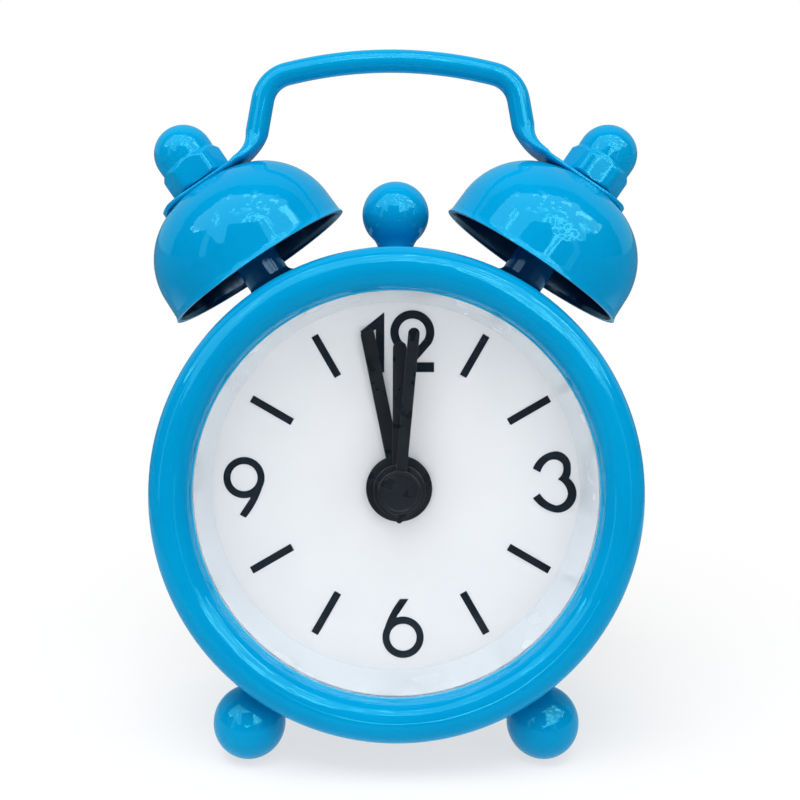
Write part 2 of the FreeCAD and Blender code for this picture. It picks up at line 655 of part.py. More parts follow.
def make_dial():
    """White cup round the dial, and the flat dial on the movement's front plate."""
    rim_y = LENS_Y + LENS_THICK
    flange_y = rim_y + CUP_FLANGE
    nodes["dial_ring"] = turned((DIAL_R, DIAL_Y), (CUP_R, rim_y), (CUP_FLANGE_R, rim_y),
                                (CUP_FLANGE_R, flange_y), (CUP_R + CUP_FLANGE, flange_y), (CUP_R, DIAL_Y))
    dial = tube((DIAL_HOLE_R, CUP_R - 0.1), (DIAL_Y, DIAL_Y + DIAL_THICK))
    boss = tube((DIAL_HOLE_R, DIAL_BOSS_R), (DIAL_Y + DIAL_THICK, FRONT_PLATE_Y[0]))
    nodes["dial"] = dial.fuse(boss)
    make_print()


def hand(disc_r, disc_y, blade_y, length, angle, widths):
    """A round disc and a blade that points up, turned clockwise by the angle."""
    root, middle, tip = [w / 2 for w in widths]
    shoulder, end = length * HAND_WIDEST, length - tip
    blade = plate((blade_y, blade_y + BLADE), (-root, 0), (-middle, shoulder), (-tip, end),
                  ((0, length), (tip, end)), (middle, shoulder), (root, 0))
    blade.rotate(CENTRE_LINE, BACKWARD, angle)
    return joined([rod(disc_r, disc_y), blade])


def make_hands():
    """Alarm hand at the bottom, hour hand with its short tail, and minute hand with a raised rim on top."""
    nodes["alarm_hand"] = at_hub(hand(**ALARM_HAND).cut(rod(ALARM_PIPE_R[1], RIGHT_THROUGH)))
    blade_y, end = HOUR_HAND["blade_y"], 0.32 - TAIL_LENGTH
    tail = plate((blade_y, blade_y + BLADE), (-0.35, 0), (-0.3, end), ((0, -TAIL_LENGTH), (0.3, end)),
                 (0.35, 0))
    nodes["hour_hand"] = at_hub(joined([hand(**HOUR_HAND), tail]).cut(rod(HOUR_PIPE_R[1], RIGHT_THROUGH)))
    front_y, back_y = MINUTE_HAND["disc_y"]
    recess = rod(MINUTE_HAND["disc_r"] - MINUTE_RIM, (front_y, front_y + MINUTE_RECESS))
    arbor = rod(ARBOR_R, (MINUTE_HAND["blade_y"] + FIT, back_y))
    nodes["minute_hand"] = at_hub(hand(**MINUTE_HAND).cut(recess).cut(arbor))


# Case


def make_bezel():
    """The pressed half-round bezel, with a flat lip inside and a skirt over the drum."""
    lip_r = BEZEL_OPENING_R + BEZEL_LIP
    top_r = (lip_r + BEZEL_R) / 2
    edge, sheet = 0.08, BEZEL_SHEET
    nodes["front_bezel"] = turned(
        (BEZEL_OPENING_R, LENS_Y), (BEZEL_OPENING_R, BEZEL_LIP_Y + edge),
        (BEZEL_OPENING_R + edge, BEZEL_LIP_Y), (lip_r, BEZEL_LIP_Y),
        ((top_r, -BEZEL_RISE), (BEZEL_R, 0)), (BEZEL_R, 0.5),
        ((BEZEL_R - 0.25, 1.0), (BEZEL_R - 0.7, BEZEL_SKIRT_Y)), (DRUM_R, BEZEL_SKIRT_Y),
        (DRUM_R, DRUM_FRONT_Y), (BEZEL_R - sheet, 0),
        ((top_r, sheet - BEZEL_RISE), (lip_r + sheet, BEZEL_LIP_Y + sheet)), (lip_r + sheet, LENS_Y))


def make_drum():
    """The drum, with its rolled rear edge and the holes for what is screwed to it."""
    roll_y, roll_r = DRUM_BACK_Y - DRUM_ROLL_R, DRUM_R - DRUM_ROLL_R
    slant = DRUM_ROLL_R / math.sqrt(2)
    inner_roll = DRUM_ROLL_R - DRUM_SHEET
    inner_slant = inner_roll / math.sqrt(2)
    lip_y = DRUM_BACK_Y - DRUM_SHEET
    drum = turned(
        (DRUM_R - DRUM_SHEET, DRUM_FRONT_Y), (DRUM_R, DRUM_FRONT_Y), (DRUM_R, roll_y),
        ((roll_r + slant, roll_y + slant), (roll_r, DRUM_BACK_Y)), (DRUM_LIP_R, DRUM_BACK_Y),
        (DRUM_LIP_R, lip_y), (roll_r, lip_y),
        ((roll_r + inner_slant, roll_y + inner_slant), (roll_r + inner_roll, roll_y)))
    for side in (-1, 1):
        drum = drum.cut(on_bell_axis(upright_rod(STUD_HOLE_R, -10, 2), side))
    for place, direction, radius in knob_places():
        drum = drum.cut(Part.makeCylinder(KNOB_SCREW_R, 6, place - direction * (radius + 4), direction))
    nodes["case_drum"] = drum


def make_case():
    """Bezel, lens and drum."""
    make_bezel()
    nodes["lens"] = rod(LENS_R, (LENS_Y, LENS_Y + LENS_THICK))
    make_drum()


def knob_places():
    """Centre of each ball, the way it points out of the case, and its radius."""
    top = Vector(0, BELL_Y, TOP_BALL_Z)
    feet = [Vector(side * FOOT_X, FOOT_Y, FOOT_Z) for side in (-1, 1)]
    spots = [(top, TOP_BALL_R)] + [(foot, FOOT_R) for foot in feet]
    return [(centre, Vector(centre.x, 0, centre.z).normalize(), radius) for centre, radius in spots]


def height_over_drum(centre):
    """How far a ball's centre stands out from the drum's surface."""
    return Vector(centre.x, 0, centre.z).Length - DRUM_R


def ball_knob(centre, direction, radius):
    """A turned ball on a short neck, standing on the drum and bored for its screw."""
    foot = -height_over_drum(centre) - 0.5
    shoulder_r, shoulder_z = polar(radius, SHOULDER_ANGLE - 90)
    knob = turned_upright((0, foot), (NECK_R, foot), (NECK_R, -radius * 0.95), (shoulder_r, shoulder_z),
                          ((radius, 0), (0, radius)))
    knob.Placement = FreeCAD.Placement(centre, FreeCAD.Rotation(UPRIGHT, direction))
    depth = radius + 3
    bore = Part.makeCylinder(KNOB_SCREW_R, depth, centre - direction * depth, direction)
    return knob.cut(drum_solid()).cut(bore)


def knob_screw(centre, direction):
    """A screw from inside the drum into a ball."""
    inside = height_over_drum(centre) + DRUM_SHEET
    seat = centre - direction * inside
    head_thick, overlap = 0.8, 0.1
    head_start = seat - direction * (head_thick + overlap)
    head = Part.makeCylinder(KNOB_SCREW_HEAD_R, head_thick, head_start, direction)
    shank = Part.makeCylinder(KNOB_SCREW_R, inside + 2 * overlap, seat - direction * 2 * overlap, direction)
    return shank.fuse(head)


def lean_angle():
    """How far the clock leans back, in degrees, when its feet and the drum's rear edge share a table."""
    behind = (DRUM_BACK_Y - DRUM_ROLL_R) - FOOT_Y
    above = FOOT_Z + (DRUM_R - DRUM_ROLL_R)
    drop = (FOOT_R - FOOT_FLAT) - DRUM_ROLL_R
    return math.degrees(math.asin(drop / math.hypot(behind, above)) - math.atan2(above, behind))


def make_knobs():
    """Top ball, two feet with a small worn flat under each, and their screws."""
    names = ("top_ball", "foot_left", "foot_right")
    for name, place in zip(names, knob_places()):
        nodes[name] = ball_knob(*place)
    nodes["knob_screws"] = Part.makeCompound([knob_screw(centre, way) for centre, way, _ in knob_places()])
    down = Vector(0, math.sin(math.radians(lean_angle())), -math.cos(math.radians(lean_angle())))
    for side, name in ((-1, "foot_left"), (1, "foot_right")):
        sole = Vector(side * FOOT_X, FOOT_Y, FOOT_Z) + down * (FOOT_R - FOOT_FLAT)
        nodes[name] = nodes[name].cut(Part.makeCylinder(2.0, 1.0, sole, down))


# Bells


def bell():
    """A spun bell, mouth down at Z = 0, with a slightly flared rim and a flat top."""
    inner_top = BELL_TOP - BELL_SHEET
    return turned_upright(
        (BELL_RIM_R, 0), (8.93, 0.55), (8.87, 2.4), ((7.93, 5.5), (4.2, 8.55)),
        ((3.9, 8.66), (BELL_FLAT_R, BELL_TOP)), (STUD_HOLE_R, BELL_TOP), (STUD_HOLE_R, inner_top),
        (3.5, inner_top), ((7.57, 5.22), (8.42, 2.3)), (8.48, 0.55), (BELL_RIM_R - BELL_SHEET, 0))


def post():
    """A sleeve from the drum to the underside of the bell, with a round bead at its foot."""
    top, low = BELL_TOP - BELL_SHEET, -6.0
    bead_low, bead_top = POST_BEAD
    bead_mid = (bead_top + bead_low) / 2
    return turned_upright((STUD_HOLE_R, low), (POST_R, low), (POST_R, bead_low),
                          ((POST_FOOT_R, bead_mid), (POST_R, bead_top)), (POST_R, top), (STUD_HOLE_R, top))


def cap_nut():
    """A hexagonal cap nut with a high round dome, standing on the handle's tab."""
    low = BELL_TOP + TAB_THICK
    high = low + NUT_HEX_HIGH
    corner_r = NUT_FLATS / math.sqrt(3)
    chamfer = turned_upright((0, low), (corner_r - 0.35, low), (corner_r, low + 0.25),
                             (corner_r, high - 0.35), (NUT_DOME_R, high), (0, high))
    dome_z = NUT_TOP - NUT_DOME_R
    slant = NUT_DOME_R / math.sqrt(2)
    dome = turned_upright((0, low + 1), (NUT_DOME_R, low + 1), (NUT_DOME_R, dome_z),
                          ((slant, dome_z + slant), (0, NUT_TOP)))
    nut = joined([hexagon(NUT_FLATS, low, high).common(chamfer), dome])
    return nut.cut(upright_rod(STUD_R, low, STUD_ENDS[1] + 0.2))


def make_bells():
    """Both bells, their posts, studs, cap nuts and the nuts inside the drum."""
    for side, name in ((-1, "left"), (1, "right")):
        nodes["bell_" + name] = on_bell_axis(bell(), side)
        nodes["bell_post_" + name] = on_bell_axis(post(), side).cut(drum_solid())
        nodes["cap_nut_" + name] = on_bell_axis(cap_nut(), side)
    stud = upright_rod(STUD_R, *STUD_ENDS)
    inner_nut = hexagon(NUT_FLATS, *INNER_NUT, STUD_R)
    nodes["bell_studs"] = Part.makeCompound([on_bell_axis(stud, side) for side in (-1, 1)])
    nodes["stud_nuts"] = Part.makeCompound([on_bell_axis(inner_nut, side) for side in (-1, 1)])


# Handle


class Bend:
    """A wire's centre line in the upright plane of the bells, drawn by arcs and straight runs."""

    def __init__(self, x, z, heading):
        self.x, self.z, self.heading, self.edges = x, z, heading, []

    def point(self):
        return Vector(self.x, BELL_Y, self.z)

    def direction(self):
        dx, dz = polar(1, self.heading)
        return Vector(dx, 0, dz)

    def run(self, length):
        start = self.point()
        dx, dz = polar(length, self.heading)
        self.x, self.z = self.x + dx, self.z + dz
        self.edges.append(Part.LineSegment(start, self.point()).toShape())

    def arc(self, radius, turn):
        """Turns left by a positive angle, right by a negative one."""
        side = 90 if turn > 0 else -90
        start = self.point()
        cx, cz = polar(radius, self.heading + side)
        centre = self.x + cx, self.z + cz

        def along(share):
            dx, dz = polar(radius, self.heading - side + turn * share)
            return centre[0] + dx, centre[1] + dz

        middle, (self.x, self.z) = along(0.5), along(1.0)
        self.edges.append(Part.Arc(start, Vector(middle[0], BELL_Y, middle[1]), self.point()).toShape())
        self.heading += turn


def ellipse_at(centre, normal, wide, thick):
    """An ellipse, wide in Y, square to the given direction."""
    if wide > thick:
        curve = Part.Ellipse(CENTRE_LINE, wide / 2, thick / 2)
    else:
        curve = Part.Circle(CENTRE_LINE, UPRIGHT, thick / 2)
    side = normal.cross(BACKWARD).normalize()
    edge = curve.toShape()
    edge.Placement = FreeCAD.Placement(centre, FreeCAD.Rotation(BACKWARD, side, normal, "XYZ"))
    return Part.Wire([edge])


def leg_end(offset):
    """The handle's right half down to its knee, placed so that the knee ends over the bell's top."""
    lean = math.radians(BELL_LEAN)
    axis = Vector(math.sin(lean), 0, math.cos(lean))
    mouth = Vector(BELL_X, BELL_Y, BELL_Z)
    bend = Bend(offset, HANDLE_TOP_Z, 0.0)
    bend.arc(ARCH_R, -ARCH_TURN)
    bend.arc(CORNER_R, -CORNER_TURN)
    trial = Bend(bend.x, bend.z, bend.heading)
    trial.arc(KNEE_R, -BELL_LEAN - bend.heading)
    too_high = (trial.point() - mouth).dot(axis) - KNEE_HEIGHT
    bend.run(too_high / -bend.direction().dot(axis))
    return bend


def flattened_knee(bend):
    """The wire's end, bent onto the bell's top and pressed flat on the way, and the point where it ends."""
    knee = Bend(bend.x, bend.z, bend.heading)
    share_of_turn = (-BELL_LEAN - bend.heading) / len(KNEE_SECTIONS)
    sections = [ellipse_at(knee.point(), knee.direction(), 2 * WIRE_R, 2 * WIRE_R)]
    for wide, thick in KNEE_SECTIONS:
        knee.arc(KNEE_R, share_of_turn)
        sections.append(ellipse_at(knee.point(), knee.direction(), wide, thick))
    end, outward = knee.point(), knee.direction()
    down = outward.cross(BACKWARD).normalize() * -1
    drop = KNEE_HEIGHT - (BELL_TOP + TAB_THICK / 2)
    for share, wide, thick in FLATTENING_SECTIONS:
        centre = end + outward * FLATTENING * share + down * drop * share
        sections.append(ellipse_at(centre, outward, wide, thick))
    return Part.makeLoft(sections, True, False), end


def tab(start, tip):
    """The flat end of the wire, round in plan, with its tip bent down towards the bell."""
    half, low, high = TAB_WIDTH / 2, BELL_TOP, BELL_TOP + TAB_THICK
    droop = (tip - TAB_FOLD) * TAB_SLOPE
    strip = outline((start, -half, low), (TAB_FOLD, -half, low), (tip, -half, low - droop),
                    (tip, -half, high - droop), (TAB_FOLD, -half, high), (start, -half, high))
    strip = Part.Face(strip).extrude(Vector(0, TAB_WIDTH, 0))
    stadium = Part.makeCylinder(half, 4, Vector(tip - half, 0, low - 2)).fuse(
        block((start - 1, tip - half), (-half, half), (low - 2, low + 2)))
    return strip.common(stadium)


def half_handle(offset):
    """Wire, flattened knee and tab of the handle's right half."""
    bend = leg_end(offset)
    section = ellipse_at(Vector(offset, BELL_Y, HANDLE_TOP_Z), RIGHTWARD, 2 * WIRE_R, 2 * WIRE_R)
    wire = Part.Wire(bend.edges).makePipeShell([section], True, False)
    knee, end = flattened_knee(bend)
    lean = math.radians(BELL_LEAN)
    outward = Vector(math.cos(lean), 0, -math.sin(lean))
    tab_start = (end - Vector(BELL_X, BELL_Y, BELL_Z)).dot(outward) + FLATTENING - 0.2
    flat_end = on_bell_axis(tab(tab_start, TAB_TIP + offset / 2), 1)
    hole = on_bell_axis(upright_rod(STUD_HOLE_R, BELL_TOP - 1, BELL_TOP + TAB_THICK + 1), 1)
    return joined([wire, knee, flat_end]).cut(hole)


def make_handle():
    """The handle is one wire: its left half is the right half's mirror image with the offset reversed."""
    left = half_handle(-HANDLE_OFFSET).mirror(CENTRE_LINE, RIGHTWARD)
    nodes["handle"] = joined([half_handle(HANDLE_OFFSET), left])


# Back


def well():
    """The cell's round well, moulded on the inside of the back."""
    bore_r, floor, inside = CELL_R + 0.2, CELL_Y[0] - WELL_FLOOR[0], CELL_Y[0] - WELL_FLOOR[1]
    groove_y = BACK_Y[0] - 0.6
    cup = turned((0, floor), (WELL_R, floor), (WELL_R, BACK_Y[0]), (WELL_GROOVE_R, BACK_Y[0]),
                 (WELL_GROOVE_R, groove_y), (bore_r, groove_y), (bore_r, inside), (0, inside))
    return moved(cup, z=CELL_Z)


def switch_rails():
    """Two hooked rails that hold the switch against the inside of the back."""
    rails = []
    inner, web, outer, half_length = 1.4, 2.05, 2.5, 5.0
    for side in (-1, 1):
        web_x = sorted((SWITCH_X + side * web, SWITCH_X + side * outer))
        lip_x = sorted((SWITCH_X + side * inner, SWITCH_X + side * outer))
        rails.append(block(web_x, (RAIL_Y[0], BACK_Y[0]), around(0, half_length)))
        rails.append(block(lip_x, RAIL_Y, around(0, half_length)))
    return rails


def sound_holes():
    holes = []
    for ring_r, count in SOUND_RINGS:
        for n in range(count):
            x, z = polar(ring_r, 360 * n / count)
            holes.append((SOUND_HOLE_R, (x, z + BUZZER_Z)))
    return holes


def make_back():
    """The moulded back, with the cell's well and hatch, and the holes for knobs, switch and sound."""
    back = turned((0, BACK_Y[0]), (BACK_R, BACK_Y[0]), (BACK_R, BACK_Y[1] - BACK_CHAMFER),
                  (BACK_R - BACK_CHAMFER, BACK_Y[1]), (0, BACK_Y[1]))
    back = back.cut(rod(HATCH_R + 0.1, (BACK_Y[0] + HATCH_LEDGE, BACK_Y[1]), z=CELL_Z))
    back = back.cut(rod(HATCH_HOLE_R, BACK_Y, z=CELL_Z))
    for side in (-1, 1):
        notch = block(around(side * LUG_X, LUG_HALF + 0.1), BACK_Y, around(0, LUG_HALF + 0.15))
        back = back.cut(moved(notch.common(rod(WELL_GROOVE_R, BACK_Y)), z=CELL_Z))
        back = back.cut(block((SWITCH_X - 1.0, SWITCH_X + 1.0), BACK_Y, around(0, SWITCH_TRAVEL)))
        back = back.cut(at_hub(rod(KNOB_SLEEVE_R + 0.1, BACK_Y, side * SETTING_X)))
    for x, z in CASE_PILLARS:
        back = back.cut(rod(CASE_SCREW["shank_r"] + FIT, BACK_Y, x, z))
        back = back.cut(rod(CASE_SCREW["head_r"] + 0.2, (BACK_Y[1] - SCREW_SEAT, BACK_Y[1]), x, z))
    nodes["rear_cover"] = joined([drilled(back, sound_holes()), well()] + switch_rails())


def make_hatch():
    """The battery cover, with a coin slot and two lugs that turn behind the edge of its hole."""
    lug_y = (BACK_Y[0] - 0.5, BACK_Y[0] - FIT)
    lugs = []
    for side in (-1, 1):
        lug = block(around(side * LUG_X, LUG_HALF), lug_y, around(0, LUG_HALF)).common(rod(HATCH_R, lug_y))
        lug.rotate(CENTRE_LINE, BACKWARD, -LUG_ANGLE)
        lugs.append(lug)
    disc = rod(HATCH_R, (BACK_Y[0] + HATCH_LEDGE + FIT, BACK_Y[1]))
    plug = rod(HATCH_PLUG_R, (CELL_Y[1] + 0.1, BACK_Y[1]))
    slot = block(around(0, COIN_SLOT_R), (BACK_Y[1] - 0.6, BACK_Y[1]), around(0, COIN_SLOT_HALF))
    cover = joined([disc, plug] + lugs).cut(slot.common(rod(COIN_SLOT_R, BACK_Y)))
    nodes["battery_cover"] = moved(cover, z=CELL_Z)


def make_cell():
    """The cell, the sprung contact under it and the contact beside it."""
    low, high = CELL_Y
    step, corner, cap_r = 0.25, 0.3, 4.6
    shoulder = low + step
    cell = turned((0, low), (cap_r, low), (cap_r, shoulder), (CELL_R - 0.2, shoulder),
                  (CELL_R, shoulder + corner), (CELL_R, high - corner), (CELL_R - corner, high), (0, high))
    nodes["button_cell"] = moved(cell, z=CELL_Z)
    floor = low - WELL_FLOOR[1]
    leaf = turned((0, floor), (4.4, floor), (4.4, floor + 0.15), (1.6, floor + 0.2), (1.0, low), (0, low))
    nodes["battery_contact_negative"] = moved(leaf, z=CELL_Z)
    side_leaf = block(around(0, 0.7), (low, high - 0.2), (CELL_R, CELL_R + 0.14))
    nodes["battery_contact_positive"] = moved(side_leaf, z=CELL_Z)


def knob():
    """A setting knob behind the clock: a ribbed disc on a sleeve that runs in the back."""
    body = turned((0, KNOB_Y[0]), (KNOB_R, KNOB_Y[0]), (KNOB_R, KNOB_Y[1] - KNOB_CHAMFER),
                  (KNOB_R - KNOB_CHAMFER, KNOB_Y[1]), (0, KNOB_Y[1]))
    for n in range(GRIPS):
        body = body.cut(rod(GRIP_R, KNOB_Y, *polar(KNOB_R + 0.05, 360 * n / GRIPS)))
    body = joined([body, rod(KNOB_SLEEVE_R, (KNOB_SLEEVE_Y, KNOB_Y[0] + 0.5))])
    return body.cut(rod(SETTING_ARBOR_R, (KNOB_SLEEVE_Y, KNOB_Y[1] - KNOB_CAP)))


def switch():
    """The sliding alarm switch, at the lower end of its travel, with three grooves on its stem."""
    rest_z = -SWITCH_TRAVEL / 2
    stem_top, groove_deep, groove_half, groove_pitch = 19.4, 0.2, 0.12, 0.7
    base = block(around(SWITCH_X, 2.0), (RAIL_Y[1] + FIT, BACK_Y[0] - FIT), around(rest_z, 3.0))
    stem = block(around(SWITCH_X, 0.9), (BACK_Y[0] - 0.5, stem_top), around(rest_z, 1.3))
    body = joined([base, stem])
    for n in (-1, 0, 1):
        groove_z = around(rest_z + n * groove_pitch, groove_half)
        body = body.cut(block(around(SWITCH_X, 1.0), (stem_top - groove_deep, stem_top), groove_z))
    return body


def make_controls():
    """Time knob, alarm knob and the sliding alarm switch."""
    nodes["time_set_knob"] = at_hub(moved(knob(), x=-SETTING_X))
    nodes["alarm_set_knob"] = at_hub(moved(knob(), x=SETTING_X))
    nodes["alarm_switch"] = switch()


def stand_up():
    """Leans every piece back and moves the clock so that its footprint's middle is the origin."""
    for shape in nodes.values():
        shape.rotate(CENTRE_LINE, RIGHTWARD, -lean_angle())
    box = FreeCAD.BoundBox()
    for shape in nodes.values():
        box.add(shape.optimalBoundingBox(False, False))
    lean = math.radians(lean_angle())
    sole_z = FOOT_Z * math.cos(lean) - FOOT_Y * math.sin(lean) - (FOOT_R - FOOT_FLAT)
    shift = Vector(-(box.XMin + box.XMax) / 2, -(box.YMin + box.YMax) / 2, -sole_z)
    for shape in nodes.values():
        shape.translate(shift)
    return shift


def main():
    make_case()
    make_dial()
    make_hands()
    make_knobs()
    make_bells()
    make_handle()
    make_plates()
    make_going_train()
    make_motion_work()
    make_alarm_work()
    make_motor()
    make_circuit()
    make_screws()
    make_back()
    make_hatch()
    make_cell()
    make_controls()
    shift = stand_up()
    os.makedirs("parts", exist_ok=True)
    for name, shape in nodes.items():
        shape.exportStep("parts/" + name + ".step")
    return shift


SHIFT = main()
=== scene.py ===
"""Mini twin-bell alarm clock: fine meshes, materials, light and camera.

Pieces are made in millimetres in the case frame, as the solids are: Y runs from the dial to the back,
Z points to twelve o'clock, and Y = 0 is where the bezel is widest. CASE takes them to the row frame.
"""

import json
import math

import bmesh
import bpy
from mathutils import Matrix, Vector

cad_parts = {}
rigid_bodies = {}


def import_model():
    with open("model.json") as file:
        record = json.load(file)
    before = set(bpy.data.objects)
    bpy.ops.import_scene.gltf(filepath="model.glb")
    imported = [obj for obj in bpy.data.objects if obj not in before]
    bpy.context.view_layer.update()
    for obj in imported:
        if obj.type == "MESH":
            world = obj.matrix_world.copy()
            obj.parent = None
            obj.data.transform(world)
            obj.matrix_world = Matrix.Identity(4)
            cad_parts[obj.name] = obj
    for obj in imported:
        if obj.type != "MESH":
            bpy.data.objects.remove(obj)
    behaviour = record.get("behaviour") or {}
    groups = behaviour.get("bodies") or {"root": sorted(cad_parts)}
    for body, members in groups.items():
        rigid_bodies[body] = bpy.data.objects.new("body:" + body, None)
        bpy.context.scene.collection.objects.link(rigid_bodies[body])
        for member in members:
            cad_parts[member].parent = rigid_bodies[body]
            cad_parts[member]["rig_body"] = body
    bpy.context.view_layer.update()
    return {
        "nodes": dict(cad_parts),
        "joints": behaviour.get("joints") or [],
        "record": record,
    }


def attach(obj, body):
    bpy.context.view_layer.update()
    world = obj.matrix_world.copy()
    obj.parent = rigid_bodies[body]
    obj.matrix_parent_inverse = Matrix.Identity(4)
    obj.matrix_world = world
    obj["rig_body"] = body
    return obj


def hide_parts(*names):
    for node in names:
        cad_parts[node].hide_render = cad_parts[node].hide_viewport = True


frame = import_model()

MM = 0.001

# Case
BEZEL_R = 21.0
BEZEL_OPENING_R = 17.27
BEZEL_RISE = 1.87
BEZEL_LIP = 0.14
BEZEL_SHEET = 0.45
BEZEL_LIP_Y = -0.2
BEZEL_SKIRT_Y = 1.2
BEZEL_SOFT = 0.09
DRUM_R = 20.25
DRUM_SHEET = 0.4
DRUM_FRONT_Y = 0.2
DRUM_BACK_Y = 18.6
DRUM_ROLL_R = 0.6
DRUM_LIP_R = 18.9
LENS_R = 18.6
LENS_Y = 0.35
LENS_THICK = 0.9
DIAL_Y = 6.0
DIAL_R = 16.4
DIAL_EDGE_R = 17.2
DIAL_THICK = 0.6
DIAL_BORE_R, DIAL_BOSS_R, DIAL_BOSS_Y = 1.6, 2.4, 6.9
RING_R, RING_BACK_R, RING_FLANGE_R = 17.3, 18.1, 19.8
RING_FLANGE = 0.8

# Bells and handle
BELL_Y = 8.7
BELL_X = 12.35
BELL_Z = 19.73
BELL_LEAN = 34.4
BELL_RIM_R = 9.08
BELL_TOP = 8.7
BELL_SHEET = 0.45
POST_R = 2.04
NUT_FLATS = 5.5
NUT_HEX_HIGH = 2.4
NUT_DOME_R = 2.7
NUT_TOP = 15.2
NUT_SHARPNESS = 13
NUT_AROUND = 120
WIRE_R = 1.05
HANDLE_TOP_Z = 38.6
HANDLE_OFFSET = -0.45
ARCH_R, ARCH_TURN = 39.0, 14.1
CORNER_R, CORNER_TURN = 3.0, 65.9
KNEE_R = 4.0
KNEE_HEIGHT = 9.15
TAB_THICK = 0.6
TAB_WIDTH = 5.6
TAB_TIP = 4.37
TAB_FOLD = 3.7
TAB_SLOPE = 0.27
PRESS = 0.8
KNEE_SPOTS = 12

# Ball knobs
TOP_BALL_R = 3.04
TOP_BALL_Z = 24.5
FOOT_R = 3.14
FOOT_X = 12.8
FOOT_Y = 3.5
FOOT_Z = -20.31
FOOT_FLAT = 0.06
NECK_R = 1.6

# Battery cover's joint, which the case frame is worked out from
HATCH_Y, HATCH_Z = 17.5, 11.7

# Hands
HUB_X, HUB_Z = 0.28, -0.11
BLADE = 0.2
HAND_WIDEST = 0.62
ALARM_DISC = dict(bore=1.2, radius=2.93, front=5.0, back=5.5)
HOUR_DISC = dict(bore=0.8, radius=2.29, front=3.1, back=3.9)
MINUTE_DISC = dict(radius=1.87, front=1.95, back=2.8)
TAIL_LENGTH, TAIL_TIP = 2.85, 0.3
RIM, RIM_HIGH = 0.3, 0.12
ALARM_HAND = dict(length=14.5, angle=-11.6, widths=(1.24, 1.24, 1.24), y=5.15)
HOUR_HAND = dict(length=13.05, angle=0.2, widths=(1.2, 1.22, 1.22), y=3.4)
MINUTE_HAND = dict(length=14.3, angle=5.2, widths=(0.94, 0.98, 1.0), y=2.3)

# Dark card beside the camera
CARD_Y = -108.0
CARD_X = (-60.0, 24.0)
CARD_Z = (-12.0, 84.0)

# Camera: square on to the dial, a little above the clock's middle
CAMERA_X, CAMERA_Y, CAMERA_Z = -0.97, -105.0, 13.4
FOCAL_PX, IMAGE_PX, SENSOR = 1240.0, 800.0, 36.0
AXIS_PX = (385.0, 336.0)

# Light. A pair is the strength at the horizon and overhead
OPEN_AIR = (0.35, 0.52)
BEHIND_LENS = (2.38, 0.40)
OVERHEAD = 0.9
FLOOR_BEHIND_LENS = 1.7
LENS_SHADE = (0.27, 0.275, 0.28)
LAMP_MIDDLE = (0, 0, 0.03)

# The room in the gloss, in parts of a direction's length
WOBBLE = 0.46
SLOPE = 0.28
PANES_MIDDLE = (0.20, -0.84, 0.50)
STREAKS = (((0.64, -0.77, 0.0), 0.07, 1.1), ((0.84, 0.54, 0.0), 0.05, 0.8))

AROUND = 160
BEVEL_STEPS = 3


def case_matrix():
    """The case frame, from the battery cover's joint, whose axis stands upright over the case's."""
    joint = next(j for j in frame["joints"] if j["name"] == "battery_cover_twist")
    back = Vector(joint["axis"]).normalized()
    right = Vector((1, 0, 0))
    up = right.cross(back)
    origin = Vector(joint["pos_m"]) - back * HATCH_Y * MM - up * HATCH_Z * MM
    columns = Matrix((right * MM, back * MM, up * MM)).transposed().to_4x4()
    return Matrix.Translation(origin) @ columns


CASE = case_matrix()


def bell_place(side):
    """From a frame with the bell's mouth at Z = 0 to the case frame, for the left (-1) or right (1) bell."""
    turn = Matrix.Rotation(math.radians(side * BELL_LEAN), 4, "Y")
    return Matrix.Translation((side * BELL_X, BELL_Y, BELL_Z)) @ turn


def polar(radius, degrees):
    """The two coordinates of a point at a radius and an angle."""
    return radius * math.cos(math.radians(degrees)), radius * math.sin(math.radians(degrees))


# Outlines and meshes


def arc_between(start, through, end, count):
    """Points of the arc after its start, worked out from three points on it."""
    (ax, ay), (bx, by), (cx, cy) = start, through, end
    d = 2 * (ax * (by - cy) + bx * (cy - ay) + cx * (ay - by))
    a2, b2, c2 = ax * ax + ay * ay, bx * bx + by * by, cx * cx + cy * cy
    ux = (a2 * (by - cy) + b2 * (cy - ay) + c2 * (ay - by)) / d
    uy = (a2 * (cx - bx) + b2 * (ax - cx) + c2 * (bx - ax)) / d
    radius = math.hypot(ax - ux, ay - uy)
    first, middle, last = [math.atan2(y - uy, x - ux) for x, y in (start, through, end)]
    sweep = (last - first) % math.tau
    if (middle - first) % math.tau > sweep:
        sweep -= math.tau
    angles = [first + sweep * (n + 1) / count for n in range(count)]
    return [(ux + radius * math.cos(a), uy + radius * math.sin(a)) for a in angles]


def outline(start, *steps, grain=10):
    """Points of an outline. A step is a point, or a pair: a point on an arc and the arc's end."""
    points = [start]
    for step in steps:
        if isinstance(step[0], tuple):
            points += arc_between(points[-1], step[0], step[1], grain)
        else:
            points.append(step)
    return points


def spun(points, along="Y", around=AROUND):
    """A closed outline of (radius, height) turned about an axis. A point on the axis becomes one vertex."""
    mesh = bmesh.new()
    rings = []
    for radius, height in points:
        if radius < 1e-6:
            spot = (0, height, 0) if along == "Y" else (0, 0, height)
            rings.append([mesh.verts.new(spot)] * around)
            continue
        ring = []
        for n in range(around):
            a, b = polar(radius, 360 * n / around)
            ring.append(mesh.verts.new((a, height, b) if along == "Y" else (a, b, height)))
        rings.append(ring)
    for low, high in zip(rings, rings[1:] + rings[:1]):
        if low[0] is low[1] and high[0] is high[1]:
            continue
        for n in range(around):
            m = (n + 1) % around
            corners = dict.fromkeys((low[n], low[m], high[m], high[n]))
            mesh.faces.new(corners)
    bmesh.ops.recalc_face_normals(mesh, faces=mesh.faces)
    return mesh


